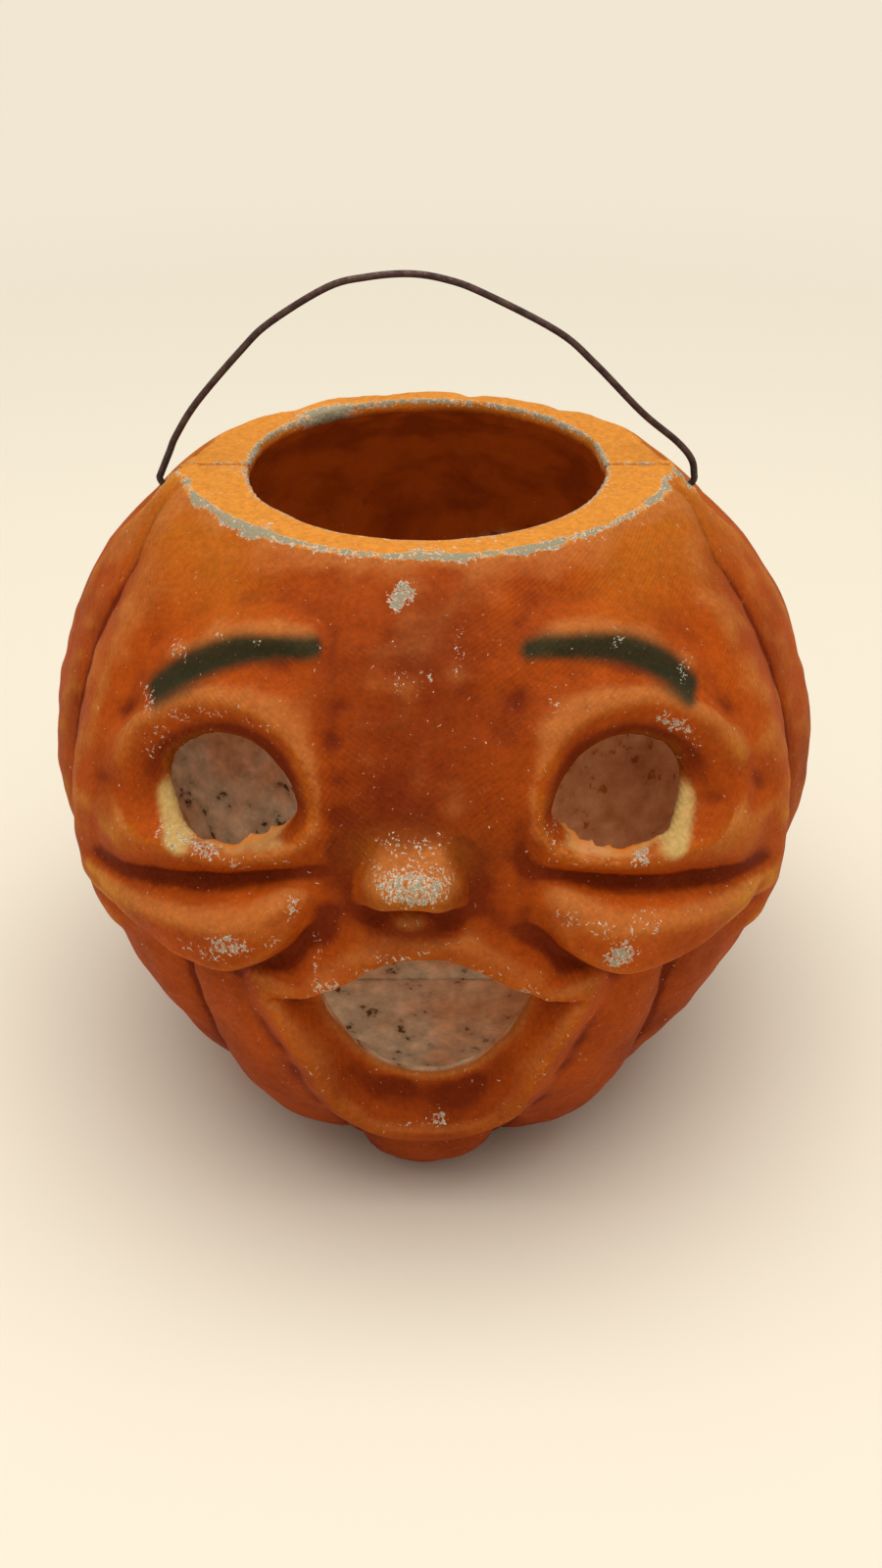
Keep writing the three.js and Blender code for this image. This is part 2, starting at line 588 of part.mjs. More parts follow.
class BentWire extends THREE.Curve {
  constructor(points) {
    super();
    this.points = points;
  }

  getPoint(t, target = new THREE.Vector3()) {
    const place = t * (this.points.length - 1);
    const index = Math.min(Math.floor(place), this.points.length - 2);
    return target.lerpVectors(this.points[index], this.points[index + 1], place - index);
  }

  getPointAt(u, target) {
    return this.getPoint(u, target);
  }

  getTangentAt(u, target) {
    return this.getTangent(u, target);
  }
}

// A quarter bend in the XZ plane
function bend(centreX, centreZ, fromAngle, toAngle) {
  return Array.from({ length: BEND_STEPS + 1 }, (_, i) => {
    const angle = radians(fromAngle + ((toAngle - fromAngle) * i) / BEND_STEPS);
    const across = centreX + BAIL_BEND_RADIUS * Math.cos(angle);
    return new THREE.Vector3(across, 0, centreZ + BAIL_BEND_RADIUS * Math.sin(angle));
  });
}

// Centre line about the hinge line, from the left hook's end to the right one's
function bailLine() {
  const skinX = halfWidthAt(skinPoint, BAIL_BEHIND_SEAM, hingeHeight);
  const wallX = halfWidthAt((a, e) => cavityPoint(a, e, 0), BAIL_BEHIND_SEAM, hingeHeight);
  const legX = skinX + BAIL_LEG_CLEARANCE + WIRE_DIAMETER / 2;
  const hookX = wallX - BAIL_HOOK_CLEARANCE - WIRE_DIAMETER;
  const turn = BAIL_BEND_RADIUS;
  const rightEnd = [
    new THREE.Vector3(hookX, 0, -BAIL_HOOK_LENGTH),
    ...bend(hookX + turn, -turn, 180, 90),
    ...bend(legX - turn, turn, -90, 0),
  ];
  const leftEnd = rightEnd.map((point) => new THREE.Vector3(-point.x, 0, point.z));
  const leftTop = leftEnd.at(-1);
  const rightTop = rightEnd.at(-1);
  const archPoints = ARCH.map(([x, z]) => new THREE.Vector3(x * legX, 0, z * BAIL_RISE));
  const arch = new THREE.CatmullRomCurve3([leftTop, ...archPoints, rightTop], false, 'centripetal');
  return [...leftEnd, ...arch.getSpacedPoints(ARCH_STEPS).slice(1, -1), ...rightEnd.reverse()];
}

function bail() {
  const points = bailLine();
  const radius = WIRE_DIAMETER / 2;
  const section = Array.from({ length: WIRE_SIDES }, (_, i) => {
    const angle = (2 * Math.PI * i) / WIRE_SIDES;
    return new THREE.Vector2(radius * Math.cos(angle), radius * Math.sin(angle));
  });
  return new THREE.ExtrudeGeometry(new THREE.Shape(section), {
    steps: points.length - 1,
    extrudePath: new BentWire(points),
    bevelEnabled: false,
  });
}

// Scene graph

function toGeometry(solid) {
  const mesh = solid.getMesh();
  const geometry = new THREE.BufferGeometry();
  geometry.setAttribute('position', new THREE.BufferAttribute(mesh.vertProperties, 3));
  geometry.setIndex(new THREE.BufferAttribute(mesh.triVerts, 1));
  geometry.computeVertexNormals();
  return geometry;
}

const paintedPulp = new THREE.MeshStandardMaterial({ color: 0xc4641a, roughness: 0.6 });
const rawPaper = new THREE.MeshStandardMaterial({ color: 0x9a8468, roughness: 0.9 });
const darkWire = new THREE.MeshStandardMaterial({ color: 0x4a3430, roughness: 0.55, metalness: 0.7 });

function piece(name, geometry, material) {
  const mesh = new THREE.Mesh(geometry, material);
  mesh.name = name;
  return mesh;
}

const wireBail = piece('wire_bail', bail(), darkWire);
wireBail.position.set(0, BAIL_BEHIND_SEAM, hingeHeight);

const lantern = new THREE.Group();
lantern.add(
  piece('front_shell', toGeometry(frontHalf()), paintedPulp),
  piece('back_shell', toGeometry(backHalf()), paintedPulp),
  piece('seam_strip_left', toGeometry(seamStrip(-1)), rawPaper),
  piece('seam_strip_right', toGeometry(seamStrip(1)), rawPaper),
  wireBail,
);

// The origin is on the table under the middle of the whole object.
const extent = new THREE.Box3().setFromObject(lantern);
const middle = extent.getCenter(new THREE.Vector3());
lantern.position.set(-middle.x, -middle.y, -extent.min.z);

export default lantern;
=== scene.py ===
"""Paper mache jack-o-lantern: two painted pulp halves, paper strips inside and a wire bail.

The shell's skin is worked out in millimetres about the middle of the waist, x to the viewer's right,
y to the back and z up, and is then moved to the frame's metres.
"""

import logging
import math
from dataclasses import dataclass, field
from enum import Enum
from typing import Any

import bpy
import numpy as np
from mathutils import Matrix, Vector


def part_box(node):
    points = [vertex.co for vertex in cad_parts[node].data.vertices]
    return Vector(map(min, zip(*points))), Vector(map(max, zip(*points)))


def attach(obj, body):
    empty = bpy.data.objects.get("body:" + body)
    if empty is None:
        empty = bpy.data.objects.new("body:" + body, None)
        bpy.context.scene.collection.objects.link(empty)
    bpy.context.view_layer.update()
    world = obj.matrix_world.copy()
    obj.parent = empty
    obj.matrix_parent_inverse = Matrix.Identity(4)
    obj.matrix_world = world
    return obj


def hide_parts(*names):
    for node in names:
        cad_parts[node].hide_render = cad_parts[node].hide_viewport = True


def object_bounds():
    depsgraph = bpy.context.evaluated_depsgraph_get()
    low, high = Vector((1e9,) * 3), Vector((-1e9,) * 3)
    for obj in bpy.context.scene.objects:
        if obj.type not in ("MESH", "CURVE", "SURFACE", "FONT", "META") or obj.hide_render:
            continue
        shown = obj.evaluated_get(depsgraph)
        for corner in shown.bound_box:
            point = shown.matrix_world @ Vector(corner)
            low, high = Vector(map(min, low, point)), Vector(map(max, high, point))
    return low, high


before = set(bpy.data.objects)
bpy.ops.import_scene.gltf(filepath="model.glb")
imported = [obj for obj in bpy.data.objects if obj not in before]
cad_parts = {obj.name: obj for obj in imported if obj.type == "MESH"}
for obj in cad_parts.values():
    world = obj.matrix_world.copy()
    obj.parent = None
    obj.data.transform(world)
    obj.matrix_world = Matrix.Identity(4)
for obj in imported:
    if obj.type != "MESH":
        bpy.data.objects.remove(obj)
CAD_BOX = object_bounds()

log = logging.getLogger("lantern")

Point = tuple[float, float]
LinePoint = tuple[float, float, float]
Span = tuple[float, float]

MM = 0.001
CURVE_STEPS = 6
TINY = 1e-9
# The first three marks carry painted light: painted shade, ochre with painted highlight, and a painted
# sheen.
MARK_NAMES = (
    "dark", "light", "painted_sheen", "brow", "ledge", "ring", "inner", "raw_inside", "bare", "wear",
)


class Half(Enum):
    """The two moulded halves, and the side of the seam that each lies on."""

    FRONT = -1
    BACK = 1


# Small tools


def rising(value: np.ndarray, span: Span) -> np.ndarray:
    """Eases from 0 to 1 as value crosses span."""
    share = np.clip((value - span[0]) / (span[1] - span[0]), 0, 1)
    return share * share * (3 - 2 * share)


def falling(value: np.ndarray, span: Span) -> np.ndarray:
    """Eases from 1 to 0 as value crosses span."""
    return 1 - rising(value, span)


def curved(points: list, closed: bool = False) -> np.ndarray:
    """Runs a smooth curve through points.

    Args:
        points: The points, of two or three numbers each.
        closed: Whether the curve comes back to its first point.

    Returns:
        Points along the curve, one in each row.
    """
    given = np.asarray(points, float)
    if closed:
        around = np.vstack([given[-1:], given, given[:2]])
    else:
        around = np.vstack([2 * given[0] - given[1], given, 2 * given[-1] - given[-2]])
    shares = (np.arange(CURVE_STEPS) / CURVE_STEPS)[:, None]
    pieces = []
    for a, b, c, d in zip(around[:-3], around[1:-2], around[2:-1], around[3:]):
        straight = (c - a) * shares + (2 * a - 5 * b + 4 * c - d) * shares**2
        pieces.append(b + 0.5 * (straight + (3 * b - a - 3 * c + d) * shares**3))
    pieces.append(given[:1] if closed else given[-1:])
    return np.vstack(pieces)


def mirrored(points: list) -> list:
    """Gives the same points on the other side of the face, in the other order."""
    return [(-point[0], point[1]) for point in reversed(points)]


def across_both_sides(half: list) -> list:
    """Completes a line that is given from the middle outwards or from the outside inwards."""
    outwards = half if half[0][0] == 0 else half[::-1]
    return mirrored(outwards) + outwards[1:]


def distance_to(curve: np.ndarray, x: np.ndarray, z: np.ndarray) -> np.ndarray:
    """Measures how far each point is from a curve in the front view.

    Args:
        curve: Points along the curve.
        x: Places across.
        z: Heights.

    Returns:
        The distances.
    """
    least = np.full(np.shape(x), np.inf)
    for start, end in zip(curve[:-1], curve[1:]):
        across, up = end[:2] - start[:2]
        length = max(across**2 + up**2, TINY)
        share = np.clip(((x - start[0]) * across + (z - start[1]) * up) / length, 0, 1)
        away = np.hypot(x - start[0] - share * across, z - start[1] - share * up)
        least = np.minimum(least, away)
    return least


def is_inside(curve: np.ndarray, x: np.ndarray, z: np.ndarray) -> np.ndarray:
    """Tells which points lie inside a closed curve in the front view.

    Args:
        curve: Points along the curve.
        x: Places across.
        z: Heights.

    Returns:
        True for each point inside.
    """
    inside = np.zeros(np.shape(x), bool)
    for start, end in zip(curve, np.roll(curve, -1, axis=0)):
        if start[1] == end[1]:
            continue
        crosses = (start[1] > z) != (end[1] > z)
        left = x < start[0] + (end[0] - start[0]) * (z - start[1]) / (end[1] - start[1])
        inside ^= crosses & left
    return inside


def uneven(places: np.ndarray, wavelength: float, seed: int) -> np.ndarray:
    """Makes smooth hand-made unevenness.

    Args:
        places: Points in millimetres, one in each row.
        wavelength: Typical distance between bumps in millimetres.
        seed: Picks the pattern.

    Returns:
        One value for each point, mostly between -1 and 1.
    """
    chance = np.random.default_rng(seed)
    total = np.zeros(len(places))
    waves = 14
    for _ in range(waves):
        direction = chance.normal(size=3)
        direction /= np.linalg.norm(direction)
        length = wavelength * chance.uniform(0.7, 1.6)
        phase = places @ direction * 2 * math.pi / length + chance.uniform(0, 2 * math.pi)
        total += np.sin(phase)
    return total / math.sqrt(waves)


def linear(colour: str) -> tuple[float, float, float, float]:
    """Turns an sRGB hex colour into Blender's linear colour."""
    parts = [int(colour[i : i + 2], 16) / 255 for i in (1, 3, 5)]
    return (*[p / 12.92 if p <= 0.04045 else ((p + 0.055) / 1.055) ** 2.4 for p in parts], 1.0)


def from_span(span: Span) -> dict[str, float]:
    """Names the ends of a span as the range that a node reads."""
    return {"From Min": span[0], "From Max": span[1]}


def to_span(span: Span) -> dict[str, float]:
    """Names the ends of a span as the range that a node gives."""
    return {"To Min": span[0], "To Max": span[1]}


def add_node(
    tree: bpy.types.NodeTree, kind: str, inputs: dict | None = None, **settings: Any
) -> bpy.types.Node:
    """Adds a shader node.

    Args:
        tree: The material's or world's node tree.
        kind: The node's type.
        inputs: Values, or output sockets to link, by the name or number of the input.
        **settings: Properties of the node.

    Returns:
        The node.
    """
    node = tree.nodes.new(kind)
    for name, value in settings.items():
        setattr(node, name, value)
    for name, value in (inputs or {}).items():
        if isinstance(value, bpy.types.NodeSocket):
            tree.links.new(value, node.inputs[name])
        else:
            node.inputs[name].default_value = value
    return node


def select_only(piece: bpy.types.Object) -> None:
    """Makes piece the only selected object and the active one."""
    bpy.ops.object.select_all(action="DESELECT")
    piece.select_set(True)
    bpy.context.view_layer.objects.active = piece


def new_piece(name: str) -> bpy.types.Object:
    """Names the primitive that was just added, and returns it."""
    piece = bpy.context.object
    piece.name = name
    piece.data.name = name
    return piece


def read_points(piece: bpy.types.Object) -> np.ndarray:
    """Returns the piece's vertices, one in each row, in metres."""
    flat = np.empty(len(piece.data.vertices) * 3)
    piece.data.vertices.foreach_get("co", flat)
    return flat.reshape(-1, 3)


def write_points(piece: bpy.types.Object, points: np.ndarray) -> None:
    """Moves the piece's vertices to points."""
    piece.data.vertices.foreach_set("co", points.ravel())
    piece.data.update()


def use_modifier(piece: bpy.types.Object, kind: str, **settings: Any) -> None:
    """Adds a modifier with its settings and applies it."""
    select_only(piece)
    modifier = piece.modifiers.new(kind.lower(), kind)
    for name, value in settings.items():
        setattr(modifier, name, value)
    bpy.ops.object.modifier_apply(modifier=modifier.name)


def cut_away(piece: bpy.types.Object, cutter: bpy.types.Object) -> None:
    """Takes cutter's space out of piece, and deletes cutter."""
    use_modifier(piece, "BOOLEAN", operation="DIFFERENCE", object=cutter, solver="MANIFOLD")
    bpy.data.objects.remove(cutter)


def store(piece: bpy.types.Object, name: str, values: np.ndarray) -> None:
    """Keeps one number for each vertex on the piece, for its material to read."""
    attribute = piece.data.attributes.new(name, "FLOAT", "POINT")
    attribute.data.foreach_set("value", np.asarray(values, np.float32))


@dataclass
class FrontMap:
    """Values over the front view of the face, read between the points of a fine grid."""

    reach: float
    low: float
    high: float
    step: float
    values: np.ndarray = field(default_factory=lambda: np.zeros((1, 1)))

    def places(self) -> tuple[np.ndarray, np.ndarray]:
        """Returns the grid's places across and its heights."""
        across = np.arange(-self.reach, self.reach + self.step, self.step)
        heights = np.arange(self.low, self.high + self.step, self.step)
        return tuple(np.meshgrid(across, heights))

    def soften(self, distance: float) -> "FrontMap":
        """Averages each value with those around it.

        Args:
            distance: How far the average reaches, in millimetres.

        Returns:
            A softer map.
        """
        width = max(1, round(distance / self.step))
        weights = np.hanning(2 * width + 3)[1:-1]
        weights /= weights.sum()
        padded = np.pad(self.values, width, mode="edge")
        rows = sum(w * padded[i : i + self.values.shape[0]] for i, w in enumerate(weights))
        both = sum(w * rows[:, i : i + self.values.shape[1]] for i, w in enumerate(weights))
        return FrontMap(self.reach, self.low, self.high, self.step, both)

    def at(self, x: np.ndarray, z: np.ndarray) -> np.ndarray:
        """Returns the values at any places in the front view."""
        column = np.clip((x + self.reach) / self.step, 0, self.values.shape[1] - 1.001)
        row = np.clip((z - self.low) / self.step, 0, self.values.shape[0] - 1.001)
        i, j = column.astype(int), row.astype(int)
        s, t = column - i, row - j
        v = self.values
        near = v[j, i] * (1 - s) + v[j, i + 1] * s
        far = v[j + 1, i] * (1 - s) + v[j + 1, i + 1] * s
        return near * (1 - t) + far * t


@dataclass
class FaceRelief:
    """The face, as heights off the plain skin at places of the front view.

    Points are given on the viewer's right, as x from the middle and z from the waist.
    """

    eye: list = field(default_factory=lambda: [
        (25, 30), (26.3, 33), (29.5, 36.5), (33, 39.2), (37, 40.2), (41.5, 39.8), (45.8, 38), (49.7, 35),
        (52.2, 31.5), (52.3, 27), (51, 23.4), (48.4, 21.6), (43.5, 21.4), (38, 22.5), (32, 24.3),
        (27, 26.4),
    ])
    socket: list = field(default_factory=lambda: [
        (21.5, 33), (22.3, 38), (25, 42.3), (30, 45.6), (35, 46.6), (41.7, 46.2), (48.7, 43.5),
        (54.6, 39.6), (59.2, 35.1), (63, 29.8), (65, 23.5), (61, 18.8), (52, 19), (44, 19.8), (36, 22.4),
        (28, 25.5), (23.5, 28.5),
    ])
    folds_side: Span = (16, 77)
    thinnest_fold: float = 0.3
    socket_floor: float = -3.5
    ledge_rise: float = 5.5
    lower_ledge: Span = (23, 29)
    outer_ledge: Span = (49, 56)
    inner_ledge: Span = (24, 29)
    inner_ledge_share: float = 0.6
    upper_lip: list = field(default_factory=lambda: [
        (0, 3.3), (6, 2.4), (11, -0.3), (16.5, -4.6), (22.8, -8.8), (28.5, -9.8),
    ])
    mouth_low: list = field(default_factory=lambda: [
        (22.6, -14.5), (19.5, -21.5), (15, -29), (11, -34), (5, -37.6), (0, -38.4),
    ])
    upper_lip_height: float = 3.4
    upper_lip_side: Span = (22, 31)
    upper_lip_top: Span = (2, 15)
    upper_lip_drop: float = 2
    lip_ridge: list = field(default_factory=lambda: [
        (33.5, -4.5), (30, -13), (26, -21.5), (22.3, -30), (19.5, -38.5), (14, -46), (7, -49),
        (0, -49.6),
    ])
    lip_ridge_height: float = 4.5
    lip_ridge_reach: float = 8.5
    lip_ridge_top: Span = (-7, 0)
    mouth_recess: float = -5.5
    recess_wall: Span = (0.4, 1)
    side_ridge: list = field(default_factory=lambda: [
        (57, 70), (56, 64), (59.5, 56), (64.5, 46.5), (69, 37.5), (72.4, 28.7), (74.5, 20), (76, 8),
        (75, -4), (72, -14),
    ])
    side_ridge_height: float = 2
    side_ridge_reach: float = 7
    side_ridge_fade: Span = (50, 68)
    side_ridge_fading: float = 0.7
    nose_x: float = -2.6
    nose_z: float = 19.8
    nose_half_width: float = 13
    nose_above: float = 12
    nose_below: float = 5.4
    nose_middle_rise: float = 2.2
    nose_height: float = 10
    nose_taper: float = 3.5
    nose_roundness: float = 2.4
    nose_underside: Span = (0, 0.8)
    nose_top_fade: Span = (0.05, 1)
    nose_side_fade: Span = (0.3, 1)
    nostril_side: float = 8
    nostril_z: float = 11.5
    nostril_radius: float = 3.6
    nostril_depth: float = 1.6
    septum_height: float = 2.4
    septum_z: float = 12.4
    septum_radius: float = 3.6
    septum_width: float = 1.6
    bridge_height: float = 1.8
    bridge_foot: Span = (12, 20)
    bridge_top: Span = (26, 42)
    bridge_side: Span = (2, 15)
    softness: float = 1.3

    def lines(self) -> list[tuple[bool, list[LinePoint]]]:
        """Returns the lines over eye and cheek from the forehead down, and whether each is a crease."""
        forehead = [(16, 74, 0), (45, 74, 0), (60, 62, 0), (75, 48, 0)]
        brow_top = [
            (16, 65, 0), (24, 65.5, -0.3), (32, 65, -0.6), (42, 62, -0.6), (52, 56, -0.3),
            (62, 48.5, 0), (75, 38, 0),
        ]
        brow_ridge = [
            (16, 58, 0), (19, 58, 0.3), (23, 58.4, 2.2), (29, 58.6, 3.4), (38, 57, 3.2), (46, 54, 2.2),
            (55, 49, 1.2), (62, 43.8, 0.4), (75, 34, 0),
        ]
        brow_groove = [
            (16, 54, 0), (19, 54, 0.2), (23, 54.8, 1), (29, 55, 1.3), (36, 53.8, 1.4), (43, 51.4, 1.4),
            (50, 47.6, 1.4), (56, 43.2, 1.1), (62, 39, 0.6), (75, 30, 0),
        ]
        upper_lid = [
            (16, 43, 0), (19, 43, 0.5), (22, 43.5, 2.2), (27, 46.4, 3.6), (34, 47.8, 4.1),
            (43, 46.8, 4.1), (52, 42.4, 4), (58, 37.6, 3.7), (63, 32, 2.8), (75, 24, 0),
        ]
        eye_middle = [
            (16, 36, 0), (19, 36, 0.5), (22.5, 35, 2.6), (30, 34, 3.8), (40, 34, 4.2), (52, 32, 4),
            (60, 28, 3.4), (67, 24, 1.5), (75, 20, 0),
        ]
        lower_lid = [
            (16, 31, 0), (19, 31, 0.3), (22, 29.5, 2.5), (26, 26.2, 4.2), (34, 22.6, 5), (46, 19.3, 5.2),
            (57, 17, 5), (67, 15.6, 3.4), (78, 13.5, 0),
        ]
        lid_groove = [
            (16, 20, 0), (20, 20.5, -0.6), (24, 19.8, -1), (31, 17.6, -1.2), (39, 14.9, -1),
            (46, 12.6, -0.8), (54, 9.8, -0.4), (60, 7.6, 0), (68, 4.6, 0.6), (78, 1, 0),
        ]
        cheek = [
            (16, 14, 0), (21, 14, 0.4), (25, 13.5, 3.6), (28, 12, 6.6), (32, 9.6, 8.6), (40, 7, 9.4),
            (48, 5.2, 9.2), (57, 3.4, 7.6), (66, 1.6, 4.4), (77, -1, 0),
        ]
        cheek_underside = [
            (16, 12, 0), (21, 11.5, 0), (24.5, 10, 3), (27, 7, 5.8), (32, 2.4, 8), (39, -0.6, 8.8),
            (48, -1.2, 8.4), (57, -1, 6.6), (66, -1.6, 3.6), (77, -4, 0),
        ]
        under_cheek = [
            (16, 8, 0), (20, 8, -0.8), (24, 6, -1.4), (27, 2.5, -1.6), (32, -2, -1.6), (39, -5, -1.6),
            (48, -5.6, -1.4), (57, -5.2, -1.2), (66, -5.6, -0.8), (77, -8, 0),
        ]
        below_cheek = [(16, -6, 0), (26, -9, 0), (40, -16, 0), (57, -15, 0), (77, -16, 0)]
        return [
            (False, forehead), (False, brow_top), (False, brow_ridge), (False, brow_groove),
            (False, upper_lid), (False, eye_middle), (False, lower_lid), (True, lid_groove),
            (False, cheek), (False, cheek_underside), (True, under_cheek), (False, below_cheek),
        ]

    def mouth(self) -> np.ndarray:
        """Returns the outline of the open mouth."""
        top = self.upper_lip[:5]
        return curved(top + self.mouth_low + mirrored(top[1:] + self.mouth_low[:-1]), closed=True)

    def from_eye(self, x: np.ndarray, z: np.ndarray) -> np.ndarray:
        """Returns how far each place of the front view is from the edge of the eye on its side."""
        return distance_to(curved(self.eye, True), np.abs(x), z)

    def from_openings(self, x: np.ndarray, z: np.ndarray) -> np.ndarray:
        """Returns how far each place of the front view is from the edges of the eyes and the mouth."""
        return np.minimum(self.from_eye(x, z), distance_to(self.mouth(), x, z))

    def eye_and_cheek(self, x: np.ndarray, z: np.ndarray) -> np.ndarray:
        """Returns the height of brow, lids and cheek, running from each line to the next below it."""
        height = np.zeros(np.shape(x))
        lines = [(crease, curved(points)) for crease, points in self.lines()]
        for (from_crease, above), (to_crease, below) in zip(lines[:-1], lines[1:]):
            top = np.interp(x, above[:, 0], above[:, 1])
            bottom = np.interp(x, below[:, 0], below[:, 1])
            share = np.clip((top - z) / np.maximum(top - bottom, self.thinnest_fold), 0, 1)
            if from_crease:
                eased = np.sin(math.pi / 2 * share)
            elif to_crease:
                eased = 1 - np.cos(math.pi / 2 * share)
            else:
                eased = share * share * (3 - 2 * share)
            start = np.interp(x, above[:, 0], above[:, 2])
            end = np.interp(x, below[:, 0], below[:, 2])
            here = (z <= top) & (z > bottom)
            height = np.where(here, start + (end - start) * eased, height)
        inner, outer = self.folds_side
        return np.where((x > inner) & (x < outer), height, 0)

    def with_socket(self, x: np.ndarray, z: np.ndarray, height: np.ndarray) -> np.ndarray:
        """Sinks the skin round the eye, with a shallow ledge along the lower lid."""
        eye, socket = curved(self.eye, True), curved(self.socket, True)
        lower = falling(z, self.lower_ledge) * falling(x, self.outer_ledge)
        inner = self.inner_ledge_share - self.inner_ledge_share * rising(x, self.inner_ledge)
        floor = self.socket_floor + self.ledge_rise * np.maximum(lower, inner)
        from_eye = np.where(is_inside(eye, x, z), 0, distance_to(eye, x, z))
        share = from_eye / (from_eye + distance_to(socket, x, z) + TINY)
        return np.where(is_inside(socket, x, z), floor + (height - floor) * share, height)

    def nose(self, x: np.ndarray, z: np.ndarray) -> np.ndarray:
        """Returns the height of the wide nose, its nostrils, the bulge between them and its bridge."""
        up = np.clip((z - self.nose_z) / self.nose_above, 0, 1)
        away = np.abs(x - self.nose_x)
        side = np.minimum(1, away / (self.nose_half_width - self.nose_taper * up))
        below = self.nose_below - self.nose_middle_rise * falling(side, self.nose_underside)
        down = np.clip((self.nose_z - z) / below, 0, 1)
        tip = np.sqrt(1 - down**self.nose_roundness) * falling(up, self.nose_top_fade)
        tip *= falling(side, self.nose_side_fade)
        hollow = np.hypot(away - self.nostril_side, z - self.nostril_z) / self.nostril_radius
        bridge = rising(z, self.bridge_foot) * falling(z, self.bridge_top)
        bridge = bridge * falling(np.abs(x), self.bridge_side)
        nostril = self.nostril_depth * falling(hollow, (0, 1))
        bulge = np.hypot(away / self.septum_width, z - self.septum_z) / self.septum_radius
        septum = self.septum_height * falling(bulge, (0, 1)) * (1 - tip)
        return self.nose_height * tip + self.bridge_height * bridge + septum - nostril

    def mouth_relief(self, x: np.ndarray, z: np.ndarray) -> np.ndarray:
        """Returns the height of the lips and the recess between them."""
        top = curved(across_both_sides(self.upper_lip))
        ridge_line = curved(across_both_sides(self.lip_ridge))
        mouth = self.mouth()
        above = z - np.interp(x, top[:, 0], top[:, 1])
        lip = self.upper_lip_height * falling(np.abs(x), self.upper_lip_side)
        ridge_distance = distance_to(ridge_line, x, z)
        in_recess = (above < 0) & is_inside(np.vstack([ridge_line, top[::-1]]), x, z)
        from_mouth = np.where(is_inside(mouth, x, z), 0, distance_to(mouth, x, z))
        share = from_mouth / (from_mouth + ridge_distance + TINY)
        wall = rising(share, self.recess_wall)
        recess = self.mouth_recess + (self.lip_ridge_height - self.mouth_recess) * wall
        sunk = lip + (recess - lip) * np.clip(-above / self.upper_lip_drop, 0, 1)
        ridge = self.lip_ridge_height * falling(ridge_distance, (0, self.lip_ridge_reach))
        upper_lip = np.where(above > 0, lip * falling(above, self.upper_lip_top), 0)
        return np.where(in_recess, sunk, upper_lip + ridge * falling(z, self.lip_ridge_top))

    def sharp(self, x: np.ndarray, z: np.ndarray) -> np.ndarray:
        """Returns the whole relief before it is softened."""
        side = np.abs(x)
        near = falling(distance_to(curved(self.side_ridge), side, z), (0, self.side_ridge_reach))
        fading = self.side_ridge_fading * rising(z, self.side_ridge_fade)
        side_ridge = self.side_ridge_height * near * (1 - fading)
        eye_side = self.with_socket(side, z, self.eye_and_cheek(side, z))
        return eye_side + side_ridge + self.nose(x, z) + self.mouth_relief(x, z)

    def drawn(self) -> FrontMap:
        """Returns the relief as a map of the front view."""
        face = FrontMap(reach=92, low=-80, high=76, step=0.4)
        face.values = self.sharp(*face.places())
        return face.soften(self.softness)


